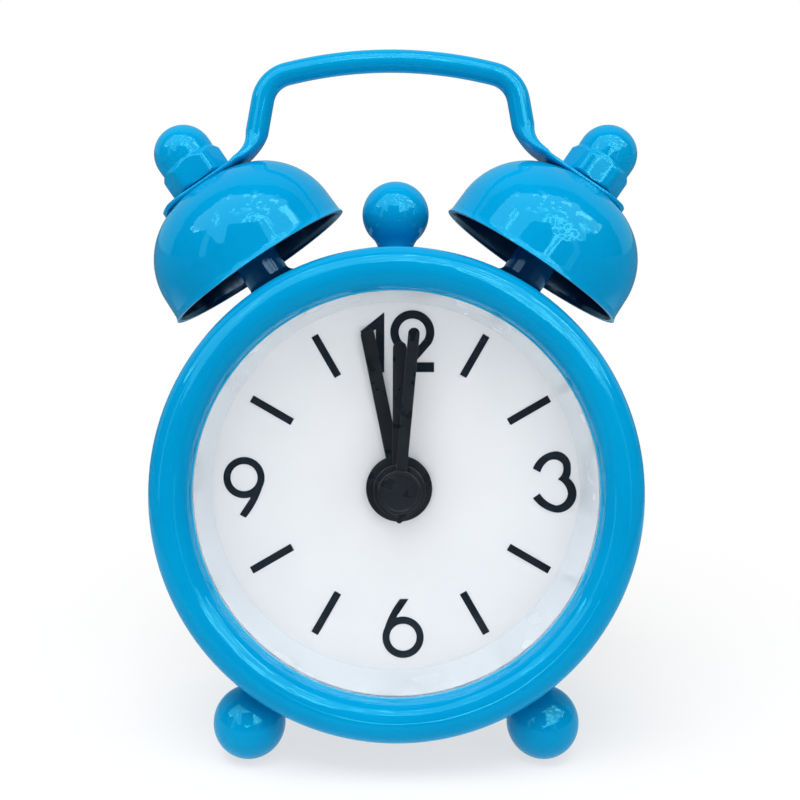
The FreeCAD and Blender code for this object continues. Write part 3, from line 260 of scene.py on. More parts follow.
def slab(points, low, high):
    """A flat piece of an outline given in (x, z), between two depths."""
    mesh = bmesh.new()
    front = [mesh.verts.new((x, low, z)) for x, z in points]
    rear = [mesh.verts.new((x, high, z)) for x, z in points]
    mesh.faces.new(front)
    mesh.faces.new(reversed(rear))
    for n in range(len(points)):
        m = (n + 1) % len(points)
        mesh.faces.new((front[n], rear[n], rear[m], front[m]))
    bmesh.ops.recalc_face_normals(mesh, faces=mesh.faces)
    return mesh


def swept(stations, around=48):
    """A closed tube through rings. A station is (centre, across, up, half width, half height, squareness)."""
    mesh = bmesh.new()
    rings = []
    for centre, across, up, wide, high, square in stations:
        ring = []
        for n in range(around):
            c, s = polar(1, 360 * n / around)
            a = math.copysign(abs(c) ** (2 / square), c)
            b = math.copysign(abs(s) ** (2 / square), s)
            ring.append(mesh.verts.new(centre + across * wide * a + up * high * b))
        rings.append(ring)
    for low, high in zip(rings, rings[1:]):
        for n in range(around):
            m = (n + 1) % around
            mesh.faces.new((low[n], low[m], high[m], high[n]))
    mesh.faces.new(rings[0])
    mesh.faces.new(reversed(rings[-1]))
    bmesh.ops.recalc_face_normals(mesh, faces=mesh.faces)
    return mesh


def merged(*meshes):
    """Several bmeshes as one."""
    first = meshes[0]
    for other in meshes[1:]:
        data = bpy.data.meshes.new("merging")
        other.to_mesh(data)
        first.from_mesh(data)
        bpy.data.meshes.remove(data)
    return first


def linked(name, data):
    """A new object of some data, in the scene."""
    obj = bpy.data.objects.new(name, data)
    bpy.context.scene.collection.objects.link(obj)
    return obj


def sheet_of(name, corners, material):
    """A four-cornered sheet of the stage, which is no part of the clock."""
    data = bpy.data.meshes.new(name)
    data.from_pydata(corners, [], [(0, 1, 2, 3)])
    data.materials.append(material)
    obj = linked(name, data)
    return obj


def piece(name, mesh, place, body, slot, material, *nodes, bevel=0.0, crease=40):
    """Makes an object of a bmesh in millimetres, ties it to its body and hides the nodes that it replaces."""
    data = bpy.data.meshes.new(name)
    mesh.to_mesh(data)
    mesh.free()
    data.transform(CASE @ place)
    obj = linked(name, data)
    data.materials.append(material)
    data.polygons.foreach_set("use_smooth", [True] * len(data.polygons))
    if bevel:
        soft = obj.modifiers.new("soft_edges", "BEVEL")
        soft.width = bevel * MM
        soft.segments = BEVEL_STEPS
        soft.limit_method = "ANGLE"
        soft.angle_limit = math.radians(crease)
        weights = obj.modifiers.new("normals", "WEIGHTED_NORMAL")
        weights.keep_sharp = True
    else:
        data.set_sharp_from_angle(angle=math.radians(crease))
    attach(obj, body)
    if nodes:
        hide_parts(*nodes)
    return obj


HERE = Matrix.Identity(4)


# Materials


def new_material(name):
    """A material with its Principled shader and a texture coordinate in metres."""
    material = bpy.data.materials.new(name)
    material.use_nodes = True
    nodes = material.node_tree.nodes
    shader = nodes["Principled BSDF"]
    coords = nodes.new("ShaderNodeTexCoord")
    return material, material.node_tree, shader, coords.outputs["Object"]


def noise(tree, coords, scale, detail=3.0, roughness=0.5, stretch=None):
    """A noise texture, its features about 1 / scale of a metre apart, drawn out along an axis if asked."""
    texture = tree.nodes.new("ShaderNodeTexNoise")
    texture.inputs["Scale"].default_value = scale
    texture.inputs["Detail"].default_value = detail
    texture.inputs["Roughness"].default_value = roughness
    source = coords
    if stretch:
        mapping = tree.nodes.new("ShaderNodeMapping")
        mapping.inputs["Scale"].default_value = stretch
        tree.links.new(coords, mapping.inputs["Vector"])
        source = mapping.outputs["Vector"]
    tree.links.new(source, texture.inputs["Vector"])
    return texture.outputs["Fac"]


def between(tree, value, low, high, start=0.35, end=0.65):
    """Maps a texture's middle range to a range of values."""
    node = tree.nodes.new("ShaderNodeMapRange")
    node.inputs["From Min"].default_value = start
    node.inputs["From Max"].default_value = end
    node.inputs["To Min"].default_value = low
    node.inputs["To Max"].default_value = high
    tree.links.new(value, node.inputs["Value"])
    return node.outputs["Result"]


def tint(tree, value, first, second):
    """A colour between two, by a value."""
    mix = tree.nodes.new("ShaderNodeMix")
    mix.data_type = "RGBA"
    mix.inputs["A"].default_value = (*first, 1)
    mix.inputs["B"].default_value = (*second, 1)
    tree.links.new(value, mix.inputs["Factor"])
    return mix.outputs["Result"]


def bump(tree, shader, *layers):
    """Stacks height textures, each with its depth in metres, into the shader's normal."""
    last = None
    for height, depth in layers:
        node = tree.nodes.new("ShaderNodeBump")
        node.inputs["Distance"].default_value = depth
        tree.links.new(height, node.inputs["Height"])
        if last:
            tree.links.new(last, node.inputs["Normal"])
        last = node.outputs["Normal"]
    tree.links.new(last, shader.inputs["Normal"])


def calc(tree, operation, first, second):
    """One sum of two values, each a number or another node's result."""
    node = tree.nodes.new("ShaderNodeMath")
    node.operation = operation
    for socket, value in zip(node.inputs, (first, second)):
        if isinstance(value, float):
            socket.default_value = value
        else:
            tree.links.new(value, socket)
    return node.outputs["Value"]


def product(tree, *values):
    """Several values multiplied."""
    result = values[0]
    for value in values[1:]:
        result = calc(tree, "MULTIPLY", result, value)
    return result


def vector_calc(tree, operation, *values, output="Vector"):
    """One sum of vectors, each a tuple or another node's result."""
    node = tree.nodes.new("ShaderNodeVectorMath")
    node.operation = operation
    for socket, value in zip(node.inputs, values):
        if isinstance(value, tuple):
            socket.default_value = value
        else:
            tree.links.new(value, socket)
    return node.outputs[output]


def split(tree, vector):
    """The X, Y and Z of a vector."""
    node = tree.nodes.new("ShaderNodeSeparateXYZ")
    tree.links.new(vector, node.inputs[0])
    return [node.outputs[letter] for letter in "XYZ"]


def blend(tree, share, first, second):
    """Two shaders mixed by a value, into the material's surface."""
    mix = tree.nodes.new("ShaderNodeMixShader")
    for socket, value in zip(mix.inputs, (share, first, second)):
        tree.links.new(value, socket)
    tree.links.new(mix.outputs["Shader"], tree.nodes["Material Output"].inputs["Surface"])


def enamel(name, pale, deep, shine, gloss=(0.16, 0.92, 1.0), peel_depth=0.00002):
    """Thick glossy paint: slow drift in colour, orange peel and fine dust under the gloss."""
    material, tree, shader, coords = new_material(name)
    drift = noise(tree, coords, 90, 2.0)
    tree.links.new(tint(tree, between(tree, drift, 0, 1), pale, deep), shader.inputs["Base Color"])
    haze = noise(tree, coords, 700, 4.0, 0.6)
    tree.links.new(between(tree, haze, shine, shine + 0.025), shader.inputs["Roughness"])
    shader.inputs["Specular IOR Level"].default_value = 0.55
    shader.inputs["Specular Tint"].default_value = (*gloss, 1)
    peel = noise(tree, coords, 420, 2.0)
    dust = noise(tree, coords, 5200, 2.0)
    bump(tree, shader, (peel, peel_depth), (dust, 0.000001))
    return material


def moulded(name, pale, deep, rough, grain, depth, clouds=150, level=0.5):
    """Moulded plastic: fine grain, faint clouds in its colour and uneven gloss."""
    material, tree, shader, coords = new_material(name)
    cloud = noise(tree, coords, clouds, 3.0)
    tree.links.new(tint(tree, between(tree, cloud, 0, 1), pale, deep), shader.inputs["Base Color"])
    uneven = noise(tree, coords, grain / 6, 3.0)
    tree.links.new(between(tree, uneven, rough, rough + 0.12), shader.inputs["Roughness"])
    shader.inputs["Specular IOR Level"].default_value = level
    skin = noise(tree, coords, grain, 4.0, 0.6)
    bump(tree, shader, (skin, depth))
    return material


def metal(name, pale, deep, rough, stretch=(1, 1, 30)):
    """Bright metal with fine drawn lines and a little tarnish."""
    material, tree, shader, coords = new_material(name)
    tarnish = noise(tree, coords, 350, 4.0, 0.6)
    tree.links.new(tint(tree, between(tree, tarnish, 0, 1), pale, deep), shader.inputs["Base Color"])
    lines = noise(tree, coords, 900, 5.0, 0.7, stretch)
    tree.links.new(between(tree, lines, rough, rough + 0.15), shader.inputs["Roughness"])
    shader.inputs["Metallic"].default_value = 1.0
    bump(tree, shader, (lines, 0.000004))
    return material


def clear_pane(name):
    """A clear lens. It lets only part of the lamps' light straight through, so that its rim throws no hard
    shadow on the dial. The world is brighter behind it instead."""
    material, tree, shader, coords = new_material(name)
    shader.inputs["Base Color"].default_value = (0.985, 0.992, 1.0, 1)
    shader.inputs["Transmission Weight"].default_value = 1.0
    shader.inputs["IOR"].default_value = 1.49
    shader.inputs["Specular Tint"].default_value = (0.45, 0.45, 0.45, 1)
    smear = noise(tree, coords, 260, 4.0, 0.65)
    tree.links.new(between(tree, smear, 0.0, 0.035, 0.45, 0.8), shader.inputs["Roughness"])
    path = tree.nodes.new("ShaderNodeLightPath")
    through = tree.nodes.new("ShaderNodeBsdfTransparent")
    through.inputs["Color"].default_value = (*LENS_SHADE, 1)
    blend(tree, path.outputs["Is Shadow Ray"], shader.outputs["BSDF"], through.outputs["BSDF"])
    return material


BLUE = enamel("blue_enamel", (0.0008, 0.330, 0.655), (0.0006, 0.298, 0.610), 0.008)
# Dark enamel inside the bells is painted shade, where little light reaches under the shell.
BELL_INSIDE_SHADE = enamel("bell_inside_painted_shade", (0.004, 0.042, 0.105), (0.003, 0.030, 0.080), 0.12, (0.45, 0.72, 1.0))
# The posts' darker enamel is painted shade: they wear the same blue paint, in the bell's shadow.
SHADE = enamel("post_painted_shade", (0.004, 0.100, 0.270), (0.003, 0.080, 0.220), 0.10, (0.45, 0.72, 1.0))
# Paler enamel for the bezel's inner lip: a painted highlight along its edge.
LIP_HIGHLIGHT = enamel("lip_painted_highlight", (0.030, 0.46, 0.76), (0.025, 0.43, 0.72), 0.008)
LENS = clear_pane("clear_lens")
# White plastic, tinted blue and lighter than the dial: painted light bounced from the blue bezel.
RING = moulded("ring_plastic_painted_bounce", (0.88, 0.94, 0.985), (0.86, 0.92, 0.97), 0.16, 900, 0.000004)
DIAL = moulded("dial_card", (0.90, 0.905, 0.915), (0.87, 0.88, 0.895), 0.42, 6000, 0.000003)
INK = moulded("print_ink", (0.010, 0.016, 0.025), (0.014, 0.021, 0.032), 0.55, 9000, 0.000003, level=0.08)
HAND = moulded("hand_plastic", (0.010, 0.014, 0.019), (0.012, 0.016, 0.022), 0.26, 5200, 0.000001, level=0.4)
BACK = moulded("back_plastic", (0.018, 0.018, 0.020), (0.027, 0.027, 0.029), 0.42, 6500, 0.000016)
KNOB = moulded("knob_plastic", (0.022, 0.022, 0.024), (0.034, 0.034, 0.036), 0.30, 5200, 0.000006)
STEEL = metal("plated_steel", (0.62, 0.62, 0.63), (0.44, 0.44, 0.46), 0.22)
NICKEL = metal("nickel_plate", (0.74, 0.73, 0.70), (0.60, 0.59, 0.57), 0.14)
BRASS = metal("brass_strip", (0.78, 0.58, 0.27), (0.60, 0.42, 0.18), 0.24)
COPPER = metal("copper_wire", (0.72, 0.30, 0.15), (0.48, 0.17, 0.08), 0.28, (70, 1, 1))
IRON = metal("stamped_iron", (0.46, 0.47, 0.49), (0.33, 0.34, 0.36), 0.34)
MAGNET = moulded("magnet", (0.075, 0.075, 0.08), (0.11, 0.11, 0.115), 0.45, 7000, 0.00001)
GEAR = moulded("gear_plastic", (0.80, 0.79, 0.74), (0.72, 0.71, 0.66), 0.3, 4200, 0.000005)
FRAME = moulded("frame_plastic", (0.20, 0.21, 0.22), (0.26, 0.27, 0.28), 0.38, 5000, 0.00001)
BOARD = moulded("board", (0.012, 0.085, 0.045), (0.020, 0.120, 0.060), 0.3, 3500, 0.000006)
CARD = moulded("card_paper", (0.010, 0.011, 0.013), (0.014, 0.015, 0.017), 0.8, 900, 0.00002, level=0.0)
EPOXY = moulded("epoxy", (0.012, 0.012, 0.013), (0.02, 0.02, 0.021), 0.12, 1200, 0.00001)

CARRIED = {
    "natural_plastic": GEAR, "grey_plastic": FRAME, "magnet": MAGNET, "silicon_steel": IRON,
    "copper_wire": COPPER, "board_green": BOARD, "black_epoxy": EPOXY, "nickel": NICKEL, "brass_strip": BRASS,
    "steel": STEEL, "black_plastic": BACK, "print_black": INK, "blue_paint": BLUE, "clear_lens": LENS,
    "white_plastic": RING, "dial_white": DIAL, "hand_black": HAND,
}


def dress_nodes():
    """Every node of the frame gets its slot's material, also where a finer piece will stand for it."""
    for entry in frame["record"]["subparts"]:
        node = frame["nodes"][entry["node"]]
        node.data.materials.clear()
        node.data.materials.append(CARRIED[entry["material_slot"]])


# Case


def make_bezel():
    """The half-round ring. Its thin inner lip is paler: a painted highlight along the edge."""
    lip_r = BEZEL_OPENING_R + BEZEL_LIP
    top_r = (lip_r + BEZEL_R) / 2
    lip_y, skirt_y, sheet, soft = BEZEL_LIP_Y, BEZEL_SKIRT_Y, BEZEL_SHEET, BEZEL_SOFT
    round_in = soft * 0.29
    bezel = outline(
        (BEZEL_OPENING_R, LENS_Y), (BEZEL_OPENING_R, lip_y + soft),
        ((BEZEL_OPENING_R + round_in, lip_y + round_in), (BEZEL_OPENING_R + soft, lip_y)), (lip_r, lip_y),
        ((top_r, -BEZEL_RISE), (BEZEL_R, 0)), (BEZEL_R, 0.5),
        ((BEZEL_R - 0.25, 1.0), (BEZEL_R - 0.7, skirt_y)),
        (DRUM_R, skirt_y), (DRUM_R, DRUM_FRONT_Y), (BEZEL_R - sheet, 0),
        ((top_r, sheet - BEZEL_RISE), (lip_r + sheet, lip_y + sheet)), (lip_r + sheet, LENS_Y), grain=20)
    ring = piece("bezel", spun(bezel), HERE, "case", "blue_paint", BLUE, "front_bezel", bevel=0.05)
    ring.data.materials.append(LIP_HIGHLIGHT)
    # Faces at the inner lip's edge get the pale enamel, a painted highlight.
    upright = CASE.inverted()
    for face in ring.data.polygons:
        x, y, z = upright @ face.center
        if math.hypot(x, z) < lip_r and y < lip_y + soft:
            face.material_index = 1


def make_case():
    """The bezel, the lens and the drum with its rolled rear edge."""
    make_bezel()
    lens = [(0, LENS_Y), (LENS_R, LENS_Y), (LENS_R, LENS_Y + LENS_THICK), (0, LENS_Y + LENS_THICK)]
    piece("lens_pane", spun(lens), HERE, "case", "clear_lens", LENS, "lens", bevel=0.06)

    roll_y, roll_r = DRUM_BACK_Y - DRUM_ROLL_R, DRUM_R - DRUM_ROLL_R
    slant = DRUM_ROLL_R / math.sqrt(2)
    inner_roll = DRUM_ROLL_R - DRUM_SHEET
    inner_slant = inner_roll / math.sqrt(2)
    drum = outline(
        (DRUM_R - DRUM_SHEET, DRUM_FRONT_Y), (DRUM_R, DRUM_FRONT_Y), (DRUM_R, roll_y),
        ((roll_r + slant, roll_y + slant), (roll_r, DRUM_BACK_Y)), (DRUM_LIP_R, DRUM_BACK_Y),
        (DRUM_LIP_R, DRUM_BACK_Y - DRUM_SHEET), (roll_r, DRUM_BACK_Y - DRUM_SHEET),
        ((roll_r + inner_slant, roll_y + inner_slant), (roll_r + inner_roll, roll_y)), grain=8)
    piece("drum", spun(drum), HERE, "case", "blue_paint", BLUE, "case_drum", bevel=0.08)


def make_dial():
    """The sloping wall between lens and dial, and the dial with a boss behind its bore."""
    back_y = LENS_Y + LENS_THICK
    flange_y = back_y + RING_FLANGE
    ring = [(DIAL_R, DIAL_Y), (RING_R, back_y), (RING_FLANGE_R, back_y), (RING_FLANGE_R, flange_y),
            (RING_BACK_R, flange_y), (RING_R, DIAL_Y)]
    piece("dial_wall", spun(ring), HERE, "case", "white_plastic", RING, "dial_ring", bevel=0.05)
    rear_y = DIAL_Y + DIAL_THICK
    disc = [(DIAL_BORE_R, DIAL_Y), (DIAL_EDGE_R, DIAL_Y), (DIAL_EDGE_R, rear_y), (DIAL_BOSS_R, rear_y),
            (DIAL_BOSS_R, DIAL_BOSS_Y), (DIAL_BORE_R, DIAL_BOSS_Y)]
    piece("dial_disc", spun(disc), HERE, "case", "dial_white", DIAL, "dial")


def hand_disc(bore, radius, front, back):
    """The round disc that a hand is moulded with, bored for its pipe."""
    return spun([(bore, front), (radius, front), (radius, back), (bore, back)])


def hand_blade(length, angle, widths, y):
    """A hand's blade pointing up, turned clockwise by its angle, with a round tip."""
    root, middle, tip = [w / 2 for w in widths]
    shoulder, end = length * HAND_WIDEST, length - tip
    points = outline(
        (-root, 0), (-middle, shoulder), (-tip, end), ((0, length), (tip, end)), (middle, shoulder),
        (root, 0))
    blade = slab(points, y, y + BLADE)
    bmesh.ops.transform(blade, matrix=Matrix.Rotation(math.radians(angle), 4, "Y"), verts=blade.verts)
    return blade


def make_hands():
    """Three hands on one hub. The hour hand has a short tail, and the minute hand's disc a raised rim."""
    tail_end, level = 0.32 - TAIL_LENGTH, HOUR_HAND["y"]
    tail = outline((-0.35, 0), (-TAIL_TIP, tail_end), ((0, -TAIL_LENGTH), (TAIL_TIP, tail_end)), (0.35, 0))
    disc_r, front, back = [MINUTE_DISC[key] for key in ("radius", "front", "back")]
    sunk = front + RIM_HIGH
    cap = [(0, sunk), (disc_r - RIM, sunk), (disc_r - RIM, front), (disc_r, front), (disc_r, back), (0, back)]
    tail = slab(tail, level, level + BLADE)
    hub = Matrix.Translation((HUB_X, 0, HUB_Z))
    for name, mesh in (
            ("alarm", merged(hand_disc(**ALARM_DISC), hand_blade(**ALARM_HAND))),
            ("hour", merged(hand_disc(**HOUR_DISC), hand_blade(**HOUR_HAND), tail)),
            ("minute", merged(spun(cap), hand_blade(**MINUTE_HAND)))):
        body, node = name + "_hand_body", name + "_hand"
        piece(name + "_pointer", mesh, hub, body, "hand_black", HAND, node, bevel=0.06)


# Bells, posts, nuts and handle


def make_bell(side, name):
    """A spun shell with a rolled rim, blue outside and dark inside, the dark being painted shade."""
    sheet, edge = BELL_SHEET, 0.12
    bore, under = 1.6, BELL_TOP - sheet
    shell = outline(
        (BELL_RIM_R - sheet, 0), (BELL_RIM_R + 0.02, 0), ((BELL_RIM_R - 0.1, 0.28), (8.93, 0.6)),
        (8.87, 2.4), ((7.93, 5.5), (4.2, 8.55)), ((3.9, 8.66), (3.6, BELL_TOP)), (bore, BELL_TOP),
        (bore, under), (3.5, under), ((7.57, 5.22), (8.42, 2.3)), (8.48, 0.55), grain=28)
    bell = piece("bell_shell_" + name, spun(shell, "Z"), bell_place(side), "case", "blue_paint", BLUE,
                 "bell_" + name, bevel=edge, crease=50)
    bell.data.materials.append(BELL_INSIDE_SHADE)
    # Faces inside the shell get the dark enamel: painted shade.
    lower = (CASE @ bell_place(side)).inverted()
    for face in bell.data.polygons:
        centre = lower @ face.center
        normal = (lower.to_3x3() @ face.normal).normalized()
        outward = Vector((centre.x, centre.y, 0)).normalized()
        inside = normal.dot(outward) < -0.1 and centre.z < under + 0.01
        if inside or (normal.z < -0.3 and centre.z > 1.0):
            face.material_index = 1


def make_post(side, name):
    """The sleeve that carries a bell, with a bead near its foot. Its darker enamel is painted shade."""
    foot_r, foot, top = 2.3, -4.2, BELL_TOP - BELL_SHEET
    sleeve = outline(
        (0, foot), (foot_r, foot), (foot_r, -2.6), ((2.49, -2.15), (foot_r, -1.72)),
        ((2.1, -1.5), (POST_R, -1.1)), (POST_R, top), (0, top), grain=8)
    piece("post_sleeve_" + name, spun(sleeve, "Z", 72), bell_place(side), "case", "blue_paint", SHADE,
          "bell_post_" + name)


def nut_radius(angle, height):
    """How far a cap nut's skin stands from its axis: a hexagon with soft corners, chamfered at both ends."""
    towards = [max(math.cos(math.radians(angle - 30 - 60 * n)), 0) for n in range(6)]
    reach = sum(share ** NUT_SHARPNESS for share in towards) ** (1 / NUT_SHARPNESS)
    hexagon = NUT_FLATS / 2 / reach
    corner = NUT_FLATS / math.sqrt(3)
    low, high = BELL_TOP + TAB_THICK, BELL_TOP + TAB_THICK + NUT_HEX_HIGH
    foot = corner - 0.42 + (height - low) * 1.3
    shoulder = 2.66 + (high - height) * 0.75
    return min(hexagon, foot, max(shoulder, 0))


def make_nut(side, name):
    """A domed hexagonal nut as one skin, ring by ring from its foot to the top of its dome."""
    low, hex_high, dome_r, top = BELL_TOP + TAB_THICK, NUT_HEX_HIGH, NUT_DOME_R, NUT_TOP
    centre = top - dome_r
    mesh, around = bmesh.new(), NUT_AROUND
    heights = [low + 0.001] + [low + hex_high * n / 30 for n in range(1, 31)]
    rings = []
    for height in heights:
        ring = [(max(nut_radius(360 * n / around, height), dome_r - 0.06), height) for n in range(around)]
        rings.append(ring)
    for n in range(1, 5):
        rings.append([(dome_r, low + hex_high + (centre - low - hex_high) * n / 4)] * around)
    for n in range(1, 24):
        radius, rise = polar(dome_r, 90 * n / 24)
        rings.append([(radius, centre + rise)] * around)
    loops = []
    for ring in rings:
        loop = []
        for n, (radius, height) in enumerate(ring):
            x, y = polar(radius, 360 * n / around)
            loop.append(mesh.verts.new((x, y, height)))
        loops.append(loop)
    for lower, upper in zip(loops, loops[1:]):
        for n in range(around):
            m = (n + 1) % around
            mesh.faces.new((lower[n], lower[m], upper[m], upper[n]))
    crown = mesh.verts.new((0, 0, top))
    for n in range(around):
        mesh.faces.new((loops[-1][n], loops[-1][(n + 1) % around], crown))
    mesh.faces.new(reversed(loops[0]))
    bmesh.ops.recalc_face_normals(mesh, faces=mesh.faces)
    bmesh.ops.smooth_vert(
        mesh, verts=mesh.verts, factor=0.35, use_axis_x=True, use_axis_y=True, use_axis_z=True)
    piece("cap_nut_dome_" + name, mesh, bell_place(side), "case", "blue_paint", BLUE, "cap_nut_" + name,
          crease=70)


def walk(offset, step=0.35):
    """The right half of the handle's centre line: (x, z, heading) from the arch's top to the knee's end."""
    spots, x, z, heading = [(offset, HANDLE_TOP_Z, 0.0)], offset, HANDLE_TOP_Z, 0.0

    def bend(x, z, heading, radius, turn):
        """Adds an arc's points after a point, and gives the last of them."""
        side = 90 if turn > 0 else -90
        cx, cz = polar(radius, heading + side)
        count = max(KNEE_SPOTS, int(abs(math.radians(turn)) * radius / step))
        for n in range(1, count + 1):
            share = turn * n / count
            dx, dz = polar(radius, heading - side + share)
            spots.append((x + cx + dx, z + cz + dz, heading + share))
        return spots[-1]

    x, z, heading = bend(x, z, heading, ARCH_R, -ARCH_TURN)
    x, z, heading = bend(x, z, heading, CORNER_R, -CORNER_TURN)
    lean = math.radians(BELL_LEAN)
    axis = (math.sin(lean), math.cos(lean))
    kept = list(spots)
    knee = bend(x, z, heading, KNEE_R, -BELL_LEAN - heading)
    spots[:] = kept
    above = (knee[0] - BELL_X) * axis[0] + (knee[1] - BELL_Z) * axis[1] - KNEE_HEIGHT
    dx, dz = polar(1, heading)
    run = above / -(dx * axis[0] + dz * axis[1])
    count = int(run / step)
    for n in range(1, count + 1):
        spots.append((x + dx * run * n / count, z + dz * run * n / count, heading))
    bend(x + dx * run, z + dz * run, heading, KNEE_R, -BELL_LEAN - heading)
    return spots


def half_stations(offset):
    """Rings of the handle's right half, from the arch to the tab's round end. The knee begins to flatten."""
    depth = Vector((0, 1, 0))
    lean = math.radians(BELL_LEAN)
    along = Vector((math.cos(lean), 0, -math.sin(lean)))
    up = Vector((math.sin(lean), 0, math.cos(lean)))
    mouth = Vector((BELL_X, BELL_Y, BELL_Z))
    flat_t, half_t, half_w = BELL_TOP + TAB_THICK / 2, TAB_THICK / 2, TAB_WIDTH / 2
    spots = walk(offset)
    bent = KNEE_R * math.radians(-BELL_LEAN - spots[-KNEE_SPOTS - 1][2])
    length = abs(bent) + PRESS

    def flattened(travel):
        """The wire's half width, half height and squareness, some way into the knee."""
        share = min(max(travel / length, 0), 1)
        ease = share * share * (3 - 2 * share)
        return WIRE_R + (half_w - WIRE_R) * ease, WIRE_R + (half_t - WIRE_R) * ease ** 0.7, 2.0 + 2.2 * ease

    stations = []
    for n, (x, z, heading) in enumerate(spots):
        ux, uz = polar(1, heading + 90)
        travel = abs(bent) * (n - len(spots) + 1 + KNEE_SPOTS) / KNEE_SPOTS
        stations.append((Vector((x, BELL_Y, z)), depth, Vector((ux, 0, uz)), *flattened(travel)))
    start = (stations[-1][0] - mouth).dot(along)
    count = 14
    for n in range(1, count + 1):
        share = n / count
        ease = share * share * (3 - 2 * share)
        centre = mouth + along * (start + PRESS * share) + up * (KNEE_HEIGHT + (flat_t - KNEE_HEIGHT) * ease)
        stations.append((centre, depth, up, *flattened(abs(bent) + PRESS * share)))
    tip = TAB_TIP + offset * 0.6
    flat_start, round_start = start + PRESS, tip - half_w
    for n in range(1, 9):
        s = flat_start + (round_start - flat_start) * n / 8
        stations.append((mouth + along * s + up * flat_t, depth, up, half_w, half_t, 4.2))
    for n in range(1, 13):
        wide, reach = polar(half_w, 90 * n / 12.4)
        s = round_start + reach
        sink = TAB_SLOPE * max(s - TAB_FOLD, 0)
        stations.append((mouth + along * s + up * (flat_t - sink), depth, up, wide, half_t * 0.98, 4.2))
    return stations


def make_handle():
    """One bent wire, a little off the middle, flattened at both ends."""
    right = half_stations(HANDLE_OFFSET)
    left = []
    for centre, across, up, *section in half_stations(-HANDLE_OFFSET)[1:]:
        left.append((Vector((-centre.x, centre.y, centre.z)), across, Vector((-up.x, 0, up.z)), *section))
    wire = swept(left[::-1] + right)
    piece("handle_wire", wire, HERE, "case", "blue_paint", BLUE, "handle", crease=60)


# Ball knobs


def ball(name, node, centre, radius, sole=False):
    """A turned ball on a neck that reaches the drum, with a soft fillet between them."""
    x, y, z = centre
    outward = Vector((x, 0, z)).normalized()
    reach = math.hypot(x, z) - DRUM_R + 0.35
    shoulder = math.radians(40)
    side = (radius * math.sin(shoulder), -radius * math.cos(shoulder))
    points = outline(
        (0, -reach), (NECK_R, -reach), (NECK_R, -radius * 0.95), side, ((radius, 0), (0, radius)), grain=40)
    turn = Vector((0, 0, 1)).rotation_difference(outward)
    place = Matrix.Translation(centre) @ turn.to_matrix().to_4x4()
    mesh = spun(points, "Z", 96)
    if sole:
        down = (CASE @ place).to_3x3().inverted() @ Vector((0, 0, -1))
        down.normalize()
        for vert in mesh.verts:
            over = vert.co.dot(down) - (radius - FOOT_FLAT)
            if over > 0:
                vert.co -= down * over
    return piece(name, mesh, place, "case", "blue_paint", BLUE, node, bevel=0.3, crease=25)


def make_balls():
    """The ball on top and the two feet, each with a small flat where it stands."""
    ball("ball_top", "top_ball", (0, BELL_Y, TOP_BALL_Z), TOP_BALL_R)
    for side, name in ((-1, "left"), (1, "right")):
        ball("ball_foot_" + name, "foot_" + name, (side * FOOT_X, FOOT_Y, FOOT_Z), FOOT_R, sole=True)


# Back


def soften(node, name, slot, material, bevel):
    """A copy of a node's mesh with softened edges, in the node's place."""
    mesh = bmesh.new()
    mesh.from_mesh(frame["nodes"][node].data)
    bmesh.ops.remove_doubles(mesh, verts=mesh.verts, dist=1e-7)
    bmesh.ops.dissolve_limit(mesh, angle_limit=math.radians(0.5), verts=mesh.verts, edges=mesh.edges)
    body = frame["nodes"][node]["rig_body"]
    return piece(name, mesh, CASE.inverted(), body, slot, material, node, bevel=bevel, crease=35)


def make_back():
    """What shows at the back, from the nodes' own meshes."""
    for node, name, material, bevel in (
            ("rear_cover", "back_shell", BACK, 0.08), ("battery_cover", "hatch", BACK, 0.1),
            ("time_set_knob", "time_knob", KNOB, 0.06), ("alarm_set_knob", "alarm_knob", KNOB, 0.06),
            ("alarm_switch", "alarm_slider", KNOB, 0.06)):
        soften(node, name, "black_plastic", material, bevel)
    soften("case_screws", "back_screws", "steel", STEEL, 0.05)


# Stage


def floor_material():
    """Pale floor: it shows the clock's soft shadow near it and turns to plain white further out."""
    material, tree, shader, coords = new_material("floor")
    path = tree.nodes.new("ShaderNodeLightPath")
    camera, through = path.outputs["Is Camera Ray"], path.outputs["Is Transmission Ray"]
    shader.inputs["Base Color"].default_value = (0.90, 0.90, 0.90, 1)
    shader.inputs["Roughness"].default_value = 0.9
    shader.inputs["Specular IOR Level"].default_value = 0.0
    white = tree.nodes.new("ShaderNodeEmission")
    away = vector_calc(tree, "LENGTH", coords, output="Value")
    fade = between(tree, away, 0.68, 1.0, 0.025, 0.075)
    share = calc(tree, "MAXIMUM", product(tree, camera, fade), path.outputs["Is Glossy Ray"])
    share = calc(tree, "MAXIMUM", share, through)
    in_gloss = between(tree, away, 0.72, 0.22, 0.09, 0.10)
    from_matt = calc(tree, "GREATER_THAN", path.outputs["Diffuse Depth"], 0.5)
    bright = calc(tree, "MAXIMUM", camera, product(tree, through, from_matt, FLOOR_BEHIND_LENS))
    tree.links.new(calc(tree, "MAXIMUM", bright, in_gloss), white.inputs["Strength"])
    blue = calc(tree, "SUBTRACT", path.outputs["Is Glossy Ray"], through)
    tree.links.new(tint(tree, blue, (1.0, 1.0, 1.0), (0.55, 0.86, 1.0)), white.inputs["Color"])
    blend(tree, share, shader.outputs["BSDF"], white.outputs["Emission"])
    return material


def make_floor():
    """A square of table, 6 m wide."""
    half = 3.0
    corners = [(-half, -half, 0), (half, -half, 0), (half, half, 0), (-half, half, 0)]
    sheet_of("floor", corners, floor_material())


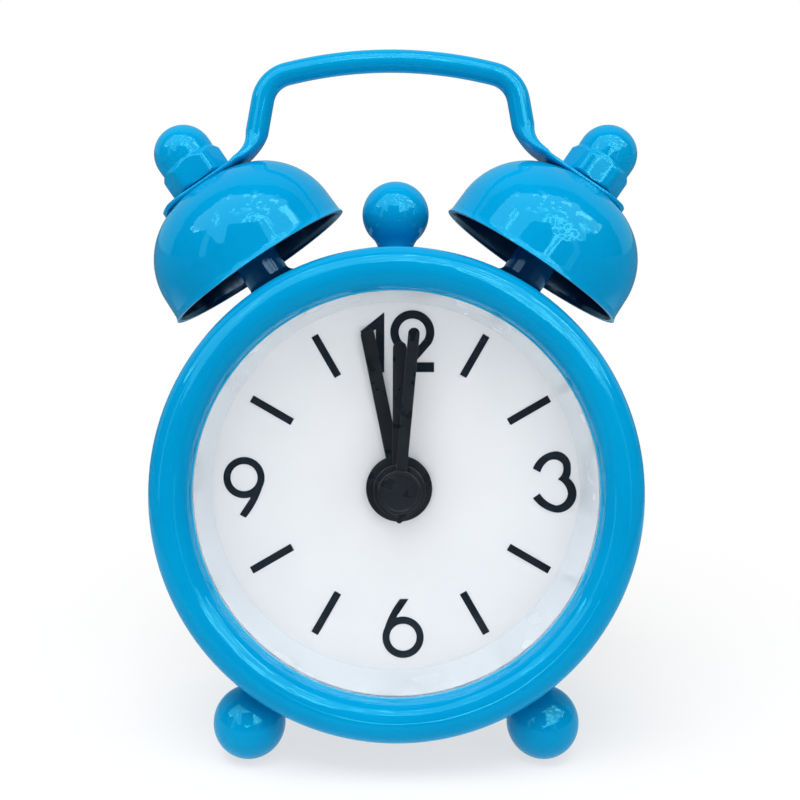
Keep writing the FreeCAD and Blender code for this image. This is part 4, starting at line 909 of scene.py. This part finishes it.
def room_in_gloss(tree, coords):
    """What gloss shows by direction: the light of a window with clouds, panes and two streaks beside it, the
    light of a pale wall behind the clock, and 1 or 0 for directions that point ahead or not."""
    wobble = tree.nodes.new("ShaderNodeTexNoise")
    wobble.inputs["Scale"].default_value = 3.4
    wobble.inputs["Detail"].default_value = 4.0
    tree.links.new(coords, wobble.inputs["Vector"])
    shifted = vector_calc(tree, "MULTIPLY_ADD", wobble.outputs["Color"], (WOBBLE,) * 3, coords)
    spot = vector_calc(tree, "SUBTRACT", shifted, (WOBBLE / 2,) * 3)
    x, y, z = split(tree, spot)

    sill = calc(tree, "SUBTRACT", z, product(tree, calc(tree, "ABSOLUTE", x, 0.0), SLOPE))
    in_front = between(tree, y, 1.0, 0.0, -0.07, -0.04)
    window = product(tree, between(tree, sill, 0.0, 1.0, 0.19, 0.21), in_front)
    cloud = between(tree, noise(tree, coords, 5.0, 5.0, 0.6), 0.0, 5.5, 0.56, 0.61)
    cloud = product(tree, cloud, between(tree, y, 0.0, 1.0, -0.62, -0.45))
    panes = tree.nodes.new("ShaderNodeTexBrick")
    panes.inputs["Scale"].default_value = 4.0
    panes.inputs["Mortar Size"].default_value = 0.075
    panes.inputs["Row Height"].default_value = 0.4
    upright = tree.nodes.new("ShaderNodeCombineXYZ")
    tree.links.new(x, upright.inputs["X"])
    tree.links.new(z, upright.inputs["Y"])
    tree.links.new(upright.outputs["Vector"], panes.inputs["Vector"])
    far = vector_calc(tree, "DISTANCE", spot, PANES_MIDDLE, output="Value")
    bars = product(tree, panes.outputs["Fac"], between(tree, far, 1.0, 0.0, 0.40, 0.46), 5.0)
    sky = product(tree, window, calc(tree, "ADD", calc(tree, "ADD", cloud, bars), 2.0))
    wall = between(tree, y, 0.0, 0.60, 0.20, 0.26)
    for across, half, strength in STREAKS:
        aside = calc(tree, "ABSOLUTE", vector_calc(tree, "DOT_PRODUCT", coords, across, output="Value"), 0.0)
        strip = between(tree, aside, strength, 0.0, half, half + 0.02)
        front_half = between(tree, y, 1.0, 0.0, -0.08, -0.02)
        high = between(tree, z, 0.0, 1.0, -0.18, -0.10)
        sky = calc(tree, "MAXIMUM", sky, product(tree, strip, front_half, high))
    return sky, wall, between(tree, y, 1.0, 0.0, -0.80, -0.70)


def make_world():
    """White to the camera, even light for matt surfaces, stronger behind the lens, and a room for gloss."""
    world = bpy.data.worlds.new("studio")
    bpy.context.scene.world = world
    world.use_nodes = True
    tree = world.node_tree
    background = tree.nodes["Background"]
    coords = tree.nodes.new("ShaderNodeTexCoord").outputs["Generated"]
    height = split(tree, coords)[2]
    path = tree.nodes.new("ShaderNodeLightPath")
    through = path.outputs["Is Transmission Ray"]
    direct = calc(tree, "LESS_THAN", path.outputs["Diffuse Depth"], 0.5)
    gloss = product(tree, calc(tree, "MAXIMUM", path.outputs["Is Glossy Ray"], through), direct)

    def choose(factor, first, second):
        """One value or the other, by a factor of 0 or 1."""
        node = tree.nodes.new("ShaderNodeMix")
        for value, socket in ((factor, "Factor"), (first, "A"), (second, "B")):
            if isinstance(value, float):
                node.inputs[socket].default_value = value
            else:
                tree.links.new(value, node.inputs[socket])
        return node.outputs["Result"]

    sky, wall, ahead = room_in_gloss(tree, coords)
    sky = product(tree, sky, calc(tree, "SUBTRACT", 1.0, product(tree, through, ahead)))
    open_air = between(tree, height, *OPEN_AIR, 0.0, OVERHEAD)
    behind_lens = between(tree, height, *BEHIND_LENS, 0.0, OVERHEAD)
    strength = choose(gloss, choose(through, open_air, behind_lens), calc(tree, "MAXIMUM", sky, wall))
    strength = choose(path.outputs["Is Camera Ray"], strength, 1.0)
    tree.links.new(strength, background.inputs["Strength"])
    tinted = product(tree, wall, 1.6, gloss)
    tree.links.new(tint(tree, tinted, (1, 1, 1), (0.42, 0.84, 1.0)), background.inputs["Color"])


def make_card():
    """A dark card in front of the clock, where a hand holds the camera. Only gloss shows it."""
    (left, right), (low, high) = CARD_X, CARD_Z
    corners = ((left, low), (right, low), (right, high), (left, high))
    card = sheet_of("card", [CASE @ Vector((x, CARD_Y, z)) for x, z in corners], CARD)
    card.visible_camera = card.visible_diffuse = card.visible_transmission = card.visible_shadow = False


def softbox(name, direction, distance, size, power):
    """A rectangular lamp facing the middle of the clock. Gloss shows the room instead of the lamp."""
    lamp = bpy.data.lights.new(name, "AREA")
    lamp.shape = "RECTANGLE"
    lamp.size, lamp.size_y = size
    lamp.energy = power
    obj = linked(name, lamp)
    away = Vector(direction).normalized()
    obj.location = Vector(LAMP_MIDDLE) + away * distance
    obj.rotation_mode = "QUATERNION"
    obj.rotation_quaternion = (-away).to_track_quat("-Z", "Y")
    obj.visible_glossy = False


def make_lamps():
    """A key above the front and a weak fill on the right."""
    softbox("key", (-0.12, -0.30, 0.95), 0.40, (0.34, 0.24), 1.50)
    softbox("fill", (0.75, -0.55, 0.40), 0.60, (0.30, 0.40), 0.30)


def make_camera():
    """Looks straight at the dial, with the image shifted so that the dial stays round, as in the photograph."""
    data = bpy.data.cameras.new("camera")
    data.sensor_width = SENSOR
    data.lens = FOCAL_PX / IMAGE_PX * SENSOR
    data.shift_x = 0.5 - AXIS_PX[0] / IMAGE_PX
    data.shift_y = AXIS_PX[1] / IMAGE_PX - 0.5
    data.clip_start, data.clip_end = 0.005, 10
    camera = linked("camera", data)
    right, back, up = [column / MM for column in CASE.to_3x3().col]
    place = Matrix.Translation(CASE @ Vector((CAMERA_X, CAMERA_Y, CAMERA_Z)))
    camera.matrix_world = place @ Matrix((right, up, -back)).transposed().to_4x4()
    bpy.context.scene.camera = camera


def main():
    """Dresses the frame's nodes, makes the pieces and sets the stage."""
    dress_nodes()
    make_case()
    make_dial()
    make_hands()
    for side, name in ((-1, "left"), (1, "right")):
        make_bell(side, name)
        make_post(side, name)
        make_nut(side, name)
    make_handle()
    make_balls()
    make_back()
    make_floor()
    make_card()
    make_world()
    make_lamps()
    make_camera()
    bpy.context.scene.view_settings.view_transform = "Standard"


main()
